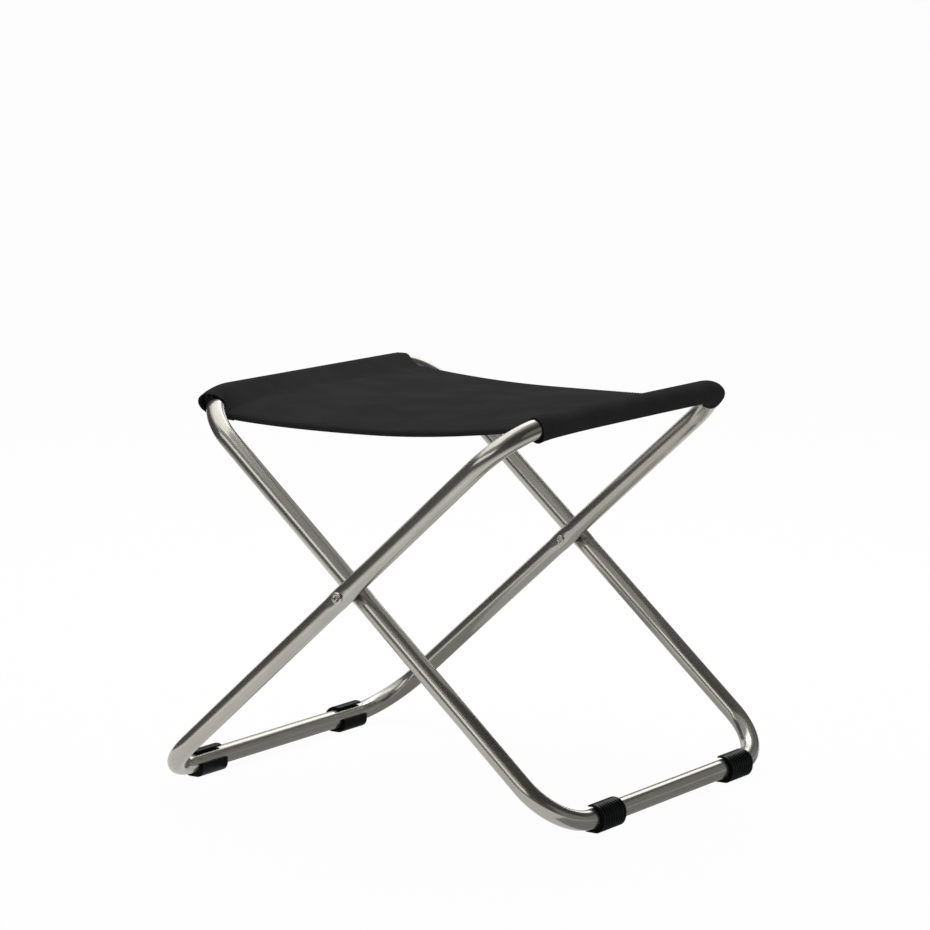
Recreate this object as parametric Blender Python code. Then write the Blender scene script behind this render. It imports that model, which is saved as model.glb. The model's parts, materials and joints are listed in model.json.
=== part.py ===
"""Folding camp stool: two crossed loops of steel tube, a cloth sling seat and four clip feet.

The origin is on the floor under the middle of the stool, +Z is up and Y runs along the bars.
Loop A stands with its feet on the -X side. Loop B is the same loop turned half round about Z.
"""

import math

import bmesh
import bpy
from mathutils import Vector

# Tube loops
TUBE_D = 0.020
TUBE_WALL = 0.0012
LOOP_WIDTH = 0.413        # between the axes of a loop's two legs
LOOP_OFFSET = 0.027       # sideways, between the legs of the two loops at a pivot
LEG_BELOW = 0.319         # pivot to the axis of the bottom bar
LEG_ABOVE = 0.271         # pivot to the axis of the top bar
BEND_RADIUS = 0.058       # at the tube's axis
LEG_ANGLE = math.radians(48.4)
BUTT_GAP = 0.0006         # between the loop's two ends, in the middle of the top bar

# Pressed flats and what they hold
PIVOT_THICKNESS = 0.018   # across the flats
FLAT_HALF_LENGTH = 0.0055
FLAT_RUNOUT = 0.0060
SHANK_D = 0.006
RIVET_HEAD_D = 0.0120
RIVET_HEAD_H = 0.0024
RIVET_TAIL_D = 0.0080
RIVET_TAIL_H = 0.0018
RIVET_EDGE_H = 0.0008     # height of the rolled rim's upright edge
RIVET_RECESS_D = 0.0044
RIVET_RECESS_FLOOR = 0.0004
SPACER_D = 0.015
SPIGOT_LENGTH = 0.070
SPIGOT_WALL = 0.002

# Clip feet
FOOT_LENGTH = 0.043
FOOT_FROM_NEAR_LEG = 0.060    # from the axis of a leg on the near side to the foot's face
FOOT_FROM_FAR_LEG = 0.0560    # the same on the far side
FOOT_WALL = 0.003
SOLE_THICKNESS = 0.0042
SOLE_HALF_WIDTH = 0.0045
HEEL_DROP = 0.0015        # where the outer wall starts to round under, below the bar's axis
TOE_DROP = 0.0055         # the same on the inner side
HEEL_SPREAD = 0.0006      # how far the wall bulges on the outer side
ARM_SPREAD = 0.0017       # how far the upper arm stands off the bar
ARM_TIP_ANGLE = math.radians(109.0)
ARM_TIP_THICKNESS = 0.0019
JAW_TOP = 0.0010          # top of the lower jaw, above the bar's axis

# Cloth seat
CLOTH = 0.0012
SEAT_WIDTH = 0.350        # along the bars
SEAM_INBOARD = 0.025      # from the bar's axis to the sleeve's seam
SEAM_ROUND = 0.0010
SEAM_DROP = 0.0030        # seam below the bar's axis
SEAM_GAP = 0.0006         # from the sleeve's seam to the panel
SLEEVE_SLACK = 0.0005     # loose cloth under the bar, mid-way
BARE_SLACK = 0.0024       # more of it at the end where the bend is mostly bare
COVERED_SLACK = 0.0040    # more of it at the end that covers the bend
BARE_FOLLOWS = 1.0        # share of the bend's drop that the sleeve's top follows at its bare end
COVERED_FOLLOWS = 0.45    # the same at its covered end
PANEL_SAG = 0.006
NEAR_EDGE_SAG = 0.0060    # more of it along the near free edge
FAR_EDGE_SAG = 0.0050     # more of it along the far free edge
CORNER_DROP = 0.0105      # at the two corners where the sleeve covers a bend
HEM_RADIUS = 0.004
HEM_DROP = 0.0065

# Fits and facets
FIT_GAP = 0.0003
TUBE_SIDES = 16
BEND_STEPS = 6
SLEEVE_SIDES = 24
PANEL_SPANS = 8
ARC_STEPS = 9
CORNER_STEPS = 4
RIM_STEPS = 4
HEM_STEPS = 2
RUNOUT_SHARES = (0.0, 0.35, 0.65, 1.0)
BEND_SHARES = (0.0, 0.3, 0.55, 0.8)
SLEEVE_SHARES = (-0.5, 0.0, 0.4)
PANEL_SHARES = (0.75, 0.4)
SHARP_ANGLE = math.radians(35.0)

# Places that follow from the sizes above
BAR_HEIGHT = SOLE_THICKNESS + FIT_GAP + TUBE_D / 2
PIVOT_HEIGHT = BAR_HEIGHT + LEG_BELOW * math.cos(LEG_ANGLE)
SEAT_BAR_HEIGHT = PIVOT_HEIGHT + LEG_ABOVE * math.cos(LEG_ANGLE)
SEAT_BAR_X = LEG_ABOVE * math.sin(LEG_ANGLE)
LOOP_Y = -LOOP_OFFSET / 2
NEAR_LEG_Y = LOOP_Y - LOOP_WIDTH / 2
FAR_LEG_Y = LOOP_Y + LOOP_WIDTH / 2
SEAT_HALF = SEAT_WIDTH / 2


def clear_scene():
    """Remove every object that the scene starts with."""
    for item in list(bpy.data.objects):
        bpy.data.objects.remove(item, do_unlink=True)


def make_material(name, colour, roughness, metallic):
    """A plain Principled material."""
    material = bpy.data.materials.new(name)
    material.use_nodes = True
    shader = material.node_tree.nodes["Principled BSDF"]
    shader.inputs["Base Color"].default_value = (*colour, 1.0)
    shader.inputs["Roughness"].default_value = roughness
    shader.inputs["Metallic"].default_value = metallic
    return material


def make_mesh(name, points, faces):
    """A smooth-shaded mesh with its faces turned outwards."""
    bm = bmesh.new()
    verts = [bm.verts.new(point) for point in points]
    for face in faces:
        bm.faces.new([verts[index] for index in face])
    bmesh.ops.recalc_face_normals(bm, faces=bm.faces)
    mesh = bpy.data.meshes.new(name)
    bm.to_mesh(mesh)
    bm.free()
    mesh.shade_smooth()
    mesh.set_sharp_from_angle(angle=SHARP_ANGLE)
    return mesh


def add_piece(name, mesh, material, parent=None, location=(0.0, 0.0, 0.0), turn_y=0.0):
    """One sub-part, placed under its parent."""
    piece = bpy.data.objects.new(name, mesh)
    bpy.context.collection.objects.link(piece)
    if not mesh.materials:
        mesh.materials.append(material)
    piece.parent = parent
    piece.location = location
    piece.rotation_euler = (0.0, turn_y, 0.0)
    return piece


def add_empty(name, location, rotation):
    """A named axis that pieces hang on."""
    empty = bpy.data.objects.new(name, None)
    bpy.context.collection.objects.link(empty)
    empty.location = location
    empty.rotation_euler = rotation
    return empty


def band_faces(first, second, sides):
    """Quads between two rings of equal length, given the index of each ring's first point."""
    faces = []
    for side in range(sides):
        after = (side + 1) % sides
        faces.append((first + side, first + after, second + after, second + side))
    return faces


def solid_loft(name, rings):
    """A closed body through rings of points, capped at both ends."""
    sides = len(rings[0])
    points = [point for ring in rings for point in ring]
    faces = []
    for index in range(len(rings) - 1):
        faces += band_faces(index * sides, (index + 1) * sides, sides)
    last = (len(rings) - 1) * sides
    faces.append(tuple(range(sides)))
    faces.append(tuple(range(last, last + sides)))
    return make_mesh(name, points, faces)


def hollow_loft(name, outer, inner):
    """A tube with open ends, through rings of its outer and inner walls."""
    sides = len(outer[0])
    count = len(outer)
    points = [point for ring in outer + inner for point in ring]
    faces = []
    for index in range(count - 1):
        faces += band_faces(index * sides, (index + 1) * sides, sides)
        faces += band_faces((count + index) * sides, (count + index + 1) * sides, sides)
    for end in (0, count - 1):
        faces += band_faces(end * sides, (count + end) * sides, sides)
    return make_mesh(name, points, faces)


def smooth(t):
    """Smooth step from 0 to 1."""
    t = min(max(t, 0.0), 1.0)
    return t * t * (3.0 - 2.0 * t)


def leg_thickness(height):
    """A leg's thickness across the pivot's flats, at a height along the leg from the pivot."""
    rise = smooth((abs(height) - FLAT_HALF_LENGTH) / FLAT_RUNOUT)
    return PIVOT_THICKNESS + (TUBE_D - PIVOT_THICKNESS) * rise


def leg_heights():
    """Where a leg has rings near its pivot, from low to high."""
    above = [FLAT_HALF_LENGTH + FLAT_RUNOUT * share for share in RUNOUT_SHARES]
    return [-height for height in reversed(above)] + above


def loop_stations():
    """The loop's path in its own plane: (y, height, heading) from one end of the tube to the other."""
    corners = (
        (FAR_LEG_Y, LEG_ABOVE, 0.0),
        (FAR_LEG_Y, -LEG_BELOW, -90.0),
        (NEAR_LEG_Y, -LEG_BELOW, -180.0),
        (NEAR_LEG_Y, LEG_ABOVE, -270.0),
    )
    stations = [(LOOP_Y + BUTT_GAP / 2, LEG_ABOVE, 0.0)]
    for index, (y, height, heading) in enumerate(corners):
        start = math.radians(heading)
        along = Vector((math.cos(start), math.sin(start)))
        right = Vector((along.y, -along.x))
        centre = Vector((y, height)) - BEND_RADIUS * along + BEND_RADIUS * right
        for step in range(BEND_STEPS + 1):
            turn = math.radians(90.0) * step / BEND_STEPS
            point = centre + BEND_RADIUS * (math.sin(turn) * along - math.cos(turn) * right)
            stations.append((point.x, point.y, start - turn))
        if index == 0:
            stations += [(y, level, math.radians(-90.0)) for level in reversed(leg_heights())]
        if index == 2:
            stations += [(y, level, math.radians(-270.0)) for level in leg_heights()]
    stations.append((LOOP_Y - BUTT_GAP / 2, LEG_ABOVE, math.radians(-360.0)))
    return stations


def tube_ring(y, height, heading, thickness, diameter):
    """A ring square to the path: round, or pressed to a stadium of the same girth."""
    half_flat = math.pi * (diameter - thickness) / 4
    normal = Vector((0.0, -math.sin(heading), math.cos(heading)))
    ring = []
    for side in range(TUBE_SIDES):
        angle = 2.0 * math.pi * (side + 0.5) / TUBE_SIDES
        across = thickness / 2 * math.cos(angle) + math.copysign(half_flat, math.cos(angle))
        ring.append(Vector((across, y, height)) + thickness / 2 * math.sin(angle) * normal)
    return ring


def is_leg(heading):
    """Whether a heading runs along a leg."""
    return abs(math.cos(heading)) < 1e-6


def frame_tube_mesh():
    """The whole loop as an open-ended tube."""
    outer = []
    inner = []
    for y, height, heading in loop_stations():
        thickness = leg_thickness(height) if is_leg(heading) else TUBE_D
        outer.append(tube_ring(y, height, heading, thickness, TUBE_D))
        inner.append(tube_ring(y, height, heading, thickness - 2 * TUBE_WALL, TUBE_D - 2 * TUBE_WALL))
    return hollow_loft("frame_tube", outer, inner)


def spigot_mesh():
    """The short tube that joins the loop's two ends."""
    outside = TUBE_D - 2 * TUBE_WALL - 2 * FIT_GAP
    inside = outside - 2 * SPIGOT_WALL
    ends = (LOOP_Y - SPIGOT_LENGTH / 2, LOOP_Y + SPIGOT_LENGTH / 2)
    outer = [tube_ring(y, LEG_ABOVE, 0.0, outside, outside) for y in ends]
    inner = [tube_ring(y, LEG_ABOVE, 0.0, inside, inside) for y in ends]
    return hollow_loft("spigot", outer, inner)


def pivot_cutter():
    """The drill that makes the rivet's holes through all four legs."""
    radius = (SHANK_D / 2 + FIT_GAP) / math.cos(math.pi / TUBE_SIDES)
    reach = LOOP_WIDTH
    mesh = solid_loft("pivot_drill", [turned_ring(radius, end) for end in (-reach, reach)])
    cutter = bpy.data.objects.new("pivot_drill", mesh)
    bpy.context.collection.objects.link(cutter)
    cutter.location = (0.0, 0.0, PIVOT_HEIGHT)
    cutter.hide_render = True
    cutter.display_type = "WIRE"
    return cutter


def drill(piece, cutter):
    """Cut the rivet's holes in a piece."""
    cut = piece.modifiers.new("pivot_holes", "BOOLEAN")
    cut.operation = "DIFFERENCE"
    cut.object = cutter


def turned_ring(radius, y):
    """A ring about the pivot's axis."""
    ring = []
    for side in range(TUBE_SIDES):
        angle = 2.0 * math.pi * side / TUBE_SIDES
        ring.append(Vector((radius * math.cos(angle), y, radius * math.sin(angle))))
    return ring


def rolled_end(diameter, height):
    """Half a rivet's profile as (radius, height over the tube): a recess, then a rim rolled over it."""
    outer = diameter / 2
    recess = RIVET_RECESS_D / 2
    middle = (outer + recess) / 2
    profile = [(recess, RIVET_RECESS_FLOOR)]
    for step in range(RIM_STEPS + 1):
        angle = math.pi * step / RIM_STEPS
        radius = middle - (outer - recess) / 2 * math.cos(angle)
        profile.append((radius, RIVET_EDGE_H + (height - RIVET_EDGE_H) * math.sin(angle)))
    return profile + [(outer, 0.0), (SHANK_D / 2, 0.0)]


def rivet_mesh():
    """A tubular rivet: rolled head outside, shank through both tubes, rolled tail inside."""
    seat = (LOOP_OFFSET + PIVOT_THICKNESS) / 2 + FIT_GAP
    head = [(radius, -seat - up) for radius, up in rolled_end(RIVET_HEAD_D, RIVET_HEAD_H)]
    tail = [(radius, seat + up) for radius, up in rolled_end(RIVET_TAIL_D, RIVET_TAIL_H)]
    return solid_loft("rivet", [turned_ring(radius, y) for radius, y in head + tail[::-1]])


def spacer_mesh():
    """A round spacer that keeps the two tubes apart on the rivet."""
    half = (LOOP_OFFSET - PIVOT_THICKNESS) / 2 - FIT_GAP
    bore = (SHANK_D / 2 + FIT_GAP) / math.cos(math.pi / TUBE_SIDES)
    outer = [turned_ring(SPACER_D / 2, y) for y in (-half, half)]
    inner = [turned_ring(bore, y) for y in (-half, half)]
    return hollow_loft("spacer", outer, inner)


def arc(radius, start, end, steps, drift=0.0):
    """Points round the bar's axis as (outward, up), with the radius growing evenly by the drift."""
    points = []
    for step in range(steps + 1):
        share = step / steps
        angle = start + (end - start) * share
        reach = radius + drift * share
        points.append((reach * math.cos(angle), reach * math.sin(angle)))
    return points


def under_corner(side, reach, drop, sole):
    """A quarter ellipse from the foot's wall down to its sole, as (outward, up)."""
    points = []
    for step in range(CORNER_STEPS + 1):
        angle = math.radians(90.0) * step / CORNER_STEPS
        outward = SOLE_HALF_WIDTH + (reach - SOLE_HALF_WIDTH) * math.cos(angle)
        points.append((side * outward, -drop + (sole + drop) * math.sin(angle)))
    return points


def foot_section():
    """The clip's outline as (outward, up) from the bar's axis, its mouth on the inner side."""
    inside = TUBE_D / 2 + FIT_GAP
    outside = inside + FOOT_WALL
    heel = outside + HEEL_SPREAD
    sole = -inside - SOLE_THICKNESS
    jaw = math.pi - math.asin(JAW_TOP / inside)
    tip = inside + ARM_SPREAD + ARM_TIP_THICKNESS
    grip = arc(inside, jaw, 2.0 * math.pi, ARC_STEPS)
    arm_inside = arc(inside, 0.0, ARM_TIP_ANGLE, ARC_STEPS, ARM_SPREAD)[1:]
    arm_outside = arc(tip, ARM_TIP_ANGLE, 0.0, ARC_STEPS, heel - tip)
    back = under_corner(1.0, heel, HEEL_DROP, sole)
    front = under_corner(-1.0, outside, TOE_DROP, sole)[::-1]
    return grip + arm_inside + arm_outside + back + front + [(-outside, JAW_TOP)]


def foot_mesh():
    """The clip foot: its section drawn out along the bar. Outward is -X, as on loop A."""
    rings = []
    for y in (-FOOT_LENGTH / 2, FOOT_LENGTH / 2):
        rings.append([Vector((-outward, y, up)) for outward, up in foot_section()])
    return solid_loft("foot", rings)


def bend_depth(y):
    """How far a place along the top bar of loop A lies inside the nearer bend."""
    return max(NEAR_LEG_Y + BEND_RADIUS - y, y - FAR_LEG_Y + BEND_RADIUS, 0.0)


def bar_span(y):
    """The tube's lowest and highest point along the leg's direction, from the top bar's axis."""
    depth = bend_depth(y)
    inner = BEND_RADIUS - TUBE_D / 2
    outer = BEND_RADIUS + TUBE_D / 2
    low = math.sqrt(max(inner * inner - depth * depth, 0.0)) - BEND_RADIUS
    high = math.sqrt(outer * outer - depth * depth) - BEND_RADIUS
    return low, high


def corner_share(x_sign, y):
    """How much a place on a seat bar belongs to a corner whose sleeve covers a bend."""
    return max(x_sign * y / SEAT_HALF, 0.0) ** 3


def sleeve_shapes(y):
    """Ellipses that loop A's sleeve is drawn round, as (centre, half axis along the leg, across it)."""
    leg = Vector((math.sin(LEG_ANGLE), math.cos(LEG_ANGLE)))
    radius = TUBE_D / 2
    low, high = bar_span(y)
    covered = y > 0.0
    follow = (COVERED_FOLLOWS if covered else BARE_FOLLOWS) * (high - radius)
    slack = SLEEVE_SLACK + (COVERED_SLACK if covered else BARE_SLACK) * (y / SEAT_HALF) ** 4
    seam = Vector((-SEAM_INBOARD, -SEAM_DROP - CORNER_DROP * corner_share(1.0, y)))
    middle = (low + high) / 2 * leg
    half = (high - low) / 2
    return (
        (follow * leg, radius, radius),
        (middle, half, radius),
        (middle - Vector((0.0, slack)), half, radius),
        (seam, SEAM_ROUND, SEAM_ROUND),
    )


def sleeve_point(y, angle, offset):
    """The point of the sleeve's section furthest out in a direction, with an offset."""
    leg = Vector((math.sin(LEG_ANGLE), math.cos(LEG_ANGLE)))
    cross = Vector((leg.y, -leg.x))
    normal = Vector((math.cos(angle), math.sin(angle)))
    best = None
    best_reach = -1.0
    for centre, along, across in sleeve_shapes(y):
        pull = along * along * normal.dot(leg) * leg + across * across * normal.dot(cross) * cross
        length = math.hypot(along * normal.dot(leg), across * normal.dot(cross))
        reach = centre.dot(normal) + length
        if best is None or reach > best_reach:
            best = centre + pull / length
            best_reach = reach
    return best + offset * normal


def sleeve_stations():
    """Where the sleeve has rings: close together over the bends."""
    stations = {-SEAT_HALF, SEAT_HALF}
    for start, end in ((NEAR_LEG_Y + BEND_RADIUS, -SEAT_HALF), (FAR_LEG_Y - BEND_RADIUS, SEAT_HALF)):
        stations.update(start + (end - start) * share for share in BEND_SHARES)
    stations.update(SEAT_HALF * share for share in SLEEVE_SHARES)
    return sorted(stations)


def sleeve_mesh():
    """The sewn sleeve round the top bar of loop A, open at both ends."""
    angles = [2.0 * math.pi * side / SLEEVE_SIDES for side in range(SLEEVE_SIDES)]
    outer = []
    inner = []
    for y in sleeve_stations():
        for rings, offset in ((outer, FIT_GAP + CLOTH), (inner, FIT_GAP)):
            section = [sleeve_point(y, angle, offset) for angle in angles]
            rings.append([Vector((point.x, y, point.y)) for point in section])
    return hollow_loft("sleeve", outer, inner)


def panel_reach(x_sign, y):
    """How far the panel reaches along X before it meets a sleeve."""
    on_loop_a = x_sign * y
    sleeve = sleeve_point(on_loop_a, math.pi, FIT_GAP + CLOTH)
    return SEAT_BAR_X + sleeve.x - SEAM_GAP


def panel_height(x_share, y):
    """The panel's top surface, from the seat bars' axes, at a share of its reach."""
    edge_sag = NEAR_EDGE_SAG if y < 0.0 else FAR_EDGE_SAG
    sag = PANEL_SAG + edge_sag * (y / SEAT_HALF) ** 2
    corner = corner_share(math.copysign(1.0, x_share), y)
    return -SEAM_DROP + CLOTH / 2 - sag * (1.0 - x_share ** 2) - CORNER_DROP * corner * x_share ** 2


def panel_profile(inset):
    """The panel from hem to hem as (y, extra height), on its top face or inset under it."""
    radius = HEM_RADIUS - inset
    turn_y = SEAT_HALF - HEM_RADIUS
    half = [(SEAT_HALF - inset, -HEM_DROP)]
    for step in range(HEM_STEPS + 1):
        angle = math.radians(90.0) * step / HEM_STEPS
        half.append((turn_y + radius * math.cos(angle), radius * math.sin(angle) - HEM_RADIUS))
    half += [(turn_y * share, -inset) for share in PANEL_SHARES]
    return [(-y, up) for y, up in half] + [(0.0, -inset)] + [(y, up) for y, up in reversed(half)]


def panel_grid(inset):
    """Points of one face of the panel, row by row along X."""
    rows = []
    for span in range(PANEL_SPANS + 1):
        share = -1.0 + 2.0 * span / PANEL_SPANS
        row = []
        for y, up in panel_profile(inset):
            x = share * panel_reach(math.copysign(1.0, share), y)
            row.append(Vector((x, y, panel_height(share, y) + up)))
        rows.append(row)
    return rows


def panel_mesh():
    """The seat's cloth between the sleeves, with both free edges turned down."""
    top = panel_grid(0.0)
    under = panel_grid(CLOTH)
    rows = len(top)
    columns = len(top[0])
    points = [point for row in top + under for point in row]
    faces = []
    for row in range(rows - 1):
        for column in range(columns - 1):
            corner = row * columns + column
            face = (corner, corner + 1, corner + columns + 1, corner + columns)
            faces.append(face)
            faces.append(tuple(index + rows * columns for index in face))
    edge = [(row * columns, (row + 1) * columns) for row in range(rows - 1)]
    edge += [(first + columns - 1, second + columns - 1) for first, second in edge]
    last = (rows - 1) * columns
    ends = [(column, column + 1) for column in range(columns - 1)]
    ends += [(last + first, last + second) for first, second in ends]
    for first, second in edge + ends:
        faces.append((first, second, second + rows * columns, first + rows * columns))
    return make_mesh("seat_panel", points, faces)


def build():
    """Put the stool together."""
    clear_scene()
    steel = make_material("stainless_steel_tube", (0.56, 0.55, 0.52), 0.28, 1.0)
    rivet_steel = make_material("rivet_steel", (0.50, 0.49, 0.46), 0.32, 1.0)
    nylon = make_material("nylon_spacer", (0.02, 0.02, 0.02), 0.5, 0.0)
    rubber = make_material("moulded_rubber", (0.006, 0.007, 0.007), 0.55, 0.0)
    cloth = make_material("woven_polyester", (0.026, 0.026, 0.026), 0.9, 0.0)

    tube = frame_tube_mesh()
    spigot = spigot_mesh()
    foot = foot_mesh()
    sleeve = sleeve_mesh()
    rivet = rivet_mesh()
    spacer = spacer_mesh()
    cutter = pivot_cutter()
    foot_in = {"near": FOOT_FROM_NEAR_LEG + FOOT_LENGTH / 2, "far": FOOT_FROM_FAR_LEG + FOOT_LENGTH / 2}

    for letter, near, far, half_turn in (("a", "near", "far", 0.0), ("b", "far", "near", math.pi)):
        axis = (0.0, 0.0, PIVOT_HEIGHT)
        fold = add_empty(f"frame_{letter}_axis", axis, (0.0, LEG_ANGLE, half_turn))
        drill(add_piece(f"frame_{letter}_tube", tube, steel, fold), cutter)
        add_piece(f"frame_{letter}_spigot", spigot, steel, fold)
        level = -LEG_ANGLE
        for side, y in ((near, NEAR_LEG_Y + foot_in[near]), (far, FAR_LEG_Y - foot_in[far])):
            add_piece(f"foot_{letter}_{side}", foot, rubber, fold, (0.0, y, -LEG_BELOW), level)
        add_piece(f"sleeve_{letter}", sleeve, cloth, fold, (0.0, 0.0, LEG_ABOVE), level)
        pivot = (0.0, -LOOP_WIDTH / 2, 0.0)
        add_piece(f"pivot_rivet_{near}", rivet, rivet_steel, fold, pivot)
        add_piece(f"pivot_spacer_{near}", spacer, nylon, fold, pivot)

    add_piece("seat_panel", panel_mesh(), cloth, None, (0.0, 0.0, SEAT_BAR_HEIGHT))


build()
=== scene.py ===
"""Looks of a folding camp stool: satin steel loops, riveted pivots, ribbed clip feet, a sewn cloth sling.

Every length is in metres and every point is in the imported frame: +Z up, Y along the seat bars,
the floor at z = 0 and the middle of the stool at x = y = 0.
"""

import json
import logging
import math
from dataclasses import dataclass
from enum import Enum
from typing import Any, ClassVar

import bmesh
import bpy
import numpy as np
from mathutils import Matrix, Vector

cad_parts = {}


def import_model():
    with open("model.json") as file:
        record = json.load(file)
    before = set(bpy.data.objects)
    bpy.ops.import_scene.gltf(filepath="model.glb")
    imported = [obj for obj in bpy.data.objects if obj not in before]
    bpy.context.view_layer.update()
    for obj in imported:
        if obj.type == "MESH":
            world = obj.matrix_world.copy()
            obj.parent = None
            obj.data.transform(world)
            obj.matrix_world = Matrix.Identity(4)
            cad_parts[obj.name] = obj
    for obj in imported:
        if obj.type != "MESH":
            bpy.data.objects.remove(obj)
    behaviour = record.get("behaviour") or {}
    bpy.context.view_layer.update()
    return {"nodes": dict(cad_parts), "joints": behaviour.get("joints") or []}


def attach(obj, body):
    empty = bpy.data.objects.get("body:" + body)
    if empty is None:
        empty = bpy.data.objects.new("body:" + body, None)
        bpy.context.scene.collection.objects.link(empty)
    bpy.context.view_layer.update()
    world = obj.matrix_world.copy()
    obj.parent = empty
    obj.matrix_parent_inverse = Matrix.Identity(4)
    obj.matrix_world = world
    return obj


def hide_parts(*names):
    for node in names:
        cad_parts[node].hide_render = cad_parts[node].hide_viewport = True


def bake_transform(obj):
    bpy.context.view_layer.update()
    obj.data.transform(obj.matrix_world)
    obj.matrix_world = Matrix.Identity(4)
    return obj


LOG = logging.getLogger("camp_stool")
PHOTO_PIXELS = 930
UP = np.array((0.0, 0.0, 1.0))
MERGE_DISTANCE = 1e-7      # points closer than this are one point
SLIVER_WIDTH = 1e-8        # faces narrower than this are dropped


class Loop(Enum):
    """The two tube loops. The value is the sign that its X and Y take."""

    A = 1.0
    B = -1.0

    @property
    def body(self) -> str:
        """Name of the CAD body that the loop belongs to."""
        return f"frame_{self.name.lower()}"


class PatternSpace(Enum):
    """Where a finish reads its pattern from. The value is the Texture Coordinate output."""

    SURFACE = "UV"
    OBJECT = "Object"


class RivetEnd(Enum):
    """The two ends of a rivet. The value is the sign of the end along the rivet's axis."""

    HEAD = -1.0
    TAIL = 1.0


def linear(code: str) -> tuple[float, float, float, float]:
    """Turn an sRGB hex colour into linear values.

    Args:
        code: colour as "#rrggbb".

    Returns:
        Red, green, blue and an alpha of 1, for a node socket.
    """
    parts = np.array([int(code[i:i + 2], 16) for i in (1, 3, 5)]) / 255.0
    values = np.where(parts <= 0.04045, parts / 12.92, ((parts + 0.055) / 1.055) ** 2.4)
    return (*values.tolist(), 1.0)


def add_node(tree: bpy.types.NodeTree, kind: str, inputs: dict[Any, Any],
             **settings: Any) -> bpy.types.Node:
    """Add one node with its settings, its socket values and its links.

    Args:
        tree: node tree that gets the node.
        kind: Blender's name of the node type.
        inputs: socket name or number to a value, or to an output socket that is linked to it.
        settings: properties of the node itself.

    Returns:
        The new node.
    """
    node = tree.nodes.new(kind)
    for key, value in settings.items():
        setattr(node, key, value)
    for key, value in inputs.items():
        if isinstance(value, bpy.types.NodeSocket):
            tree.links.new(value, node.inputs[key])
        else:
            node.inputs[key].default_value = value
    return node


def empty_material(name: str) -> tuple[bpy.types.Material, bpy.types.NodeTree]:
    """Start a material with no nodes.

    Args:
        name: what the material really is.

    Returns:
        The material and its node tree.
    """
    material = bpy.data.materials.new(name)
    material.use_nodes = True
    material.node_tree.nodes.clear()
    return material, material.node_tree


def smooth_step(value: np.ndarray) -> np.ndarray:
    """Rise smoothly from 0 to 1 over the values 0 to 1, as 3t^2 - 2t^3."""
    t = np.clip(value, 0.0, 1.0)
    return t * t * (3.0 - 2.0 * t)


def grid_quads(rows: int, columns: int) -> np.ndarray:
    """Corner numbers of the quads of a grid of points.

    Args:
        rows: number of grid rows.
        columns: number of points in a row.

    Returns:
        One row of four point numbers for each quad.
    """
    index = np.arange(rows * columns).reshape(rows, columns)
    corners = (index[:-1, :-1], index[:-1, 1:], index[1:, 1:], index[1:, :-1])
    return np.stack(corners, axis=-1).reshape(-1, 4)


def linked_object(name: str, data: bpy.types.ID) -> bpy.types.Object:
    """Make an object from a mesh, a camera or a light, and link it to the scene.

    Args:
        name: name of the object.
        data: what it shows.

    Returns:
        The new object.
    """
    made = bpy.data.objects.new(name, data)
    bpy.context.collection.objects.link(made)
    return made


def surface_piece(name: str, points: np.ndarray, uv: np.ndarray | None = None, capped: bool = False,
                  closed: bool = True, sharp: float = math.radians(40.0)) -> bpy.types.Object:
    """Make an object from a surface given as a grid of points.

    A surface that closes on itself repeats its first row or column as its last one. Points that fall
    together are merged, so seams and poles are closed while the UV map still runs on to its end.

    Args:
        name: name of the piece.
        points: grid of points, rows by columns by 3.
        uv: UV map on the same grid, in metres along the surface, or none.
        capped: whether the first and last row are filled with a flat face.
        closed: whether the surface encloses a volume, so that its faces are turned outwards.
        sharp: angle past which an edge is shaded sharp.

    Returns:
        The new object, linked to the scene.
    """
    rows, columns = points.shape[:2]
    quads = grid_quads(rows, columns)
    mesh = bpy.data.meshes.new(name)
    mesh.from_pydata(points.reshape(-1, 3).tolist(), [], quads.tolist())
    if uv is not None:
        layer = mesh.uv_layers.new(name="surface")
        layer.data.foreach_set("uv", uv.reshape(-1, 2)[quads.reshape(-1)].astype(np.float32).ravel())
    bm = bmesh.new()
    bm.from_mesh(mesh)
    if capped:
        bm.verts.ensure_lookup_table()
        for first in (0, (rows - 1) * columns):
            bm.faces.new([bm.verts[first + step] for step in range(columns - 1)])
    bmesh.ops.remove_doubles(bm, verts=bm.verts, dist=MERGE_DISTANCE)
    bmesh.ops.dissolve_degenerate(bm, edges=bm.edges, dist=SLIVER_WIDTH)
    if closed:
        bmesh.ops.recalc_face_normals(bm, faces=bm.faces)
    bm.to_mesh(mesh)
    bm.free()
    mesh.shade_smooth()
    mesh.set_sharp_from_angle(angle=sharp)
    return linked_object(name, mesh)


def dress(piece: bpy.types.Object, material: bpy.types.Material) -> None:
    """Give a piece one material."""
    piece.data.materials.clear()
    piece.data.materials.append(material)


def repeat_first(points: np.ndarray) -> np.ndarray:
    """Close a ring: add its first point again at its end."""
    return np.concatenate((points, points[:1]))


def run_length(points: np.ndarray) -> np.ndarray:
    """Length along a line of points at each of them, from 0 at the first."""
    return np.concatenate(((0.0,), np.cumsum(np.linalg.norm(np.diff(points, axis=0), axis=-1))))


def arc(radius: float | np.ndarray, start: float, end: float, steps: int) -> np.ndarray:
    """Points on an arc about the origin.

    Args:
        radius: radius, or the radius at each of the points.
        start: first angle.
        end: last angle.
        steps: number of steps between them.

    Returns:
        Points as (across, up), one more than the steps.
    """
    angles = np.linspace(start, end, steps + 1)
    return np.stack((radius * np.cos(angles), radius * np.sin(angles)), axis=-1)


def level_rectangle(across: tuple[float, float], along: tuple[float, float], height: float) -> np.ndarray:
    """A level rectangle from its ends along X and Y, as a grid of its four corners."""
    x, y = np.meshgrid(np.array(across), np.array(along), indexing="ij")
    return np.stack((x, y, np.full_like(x, height)), axis=-1)


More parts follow.
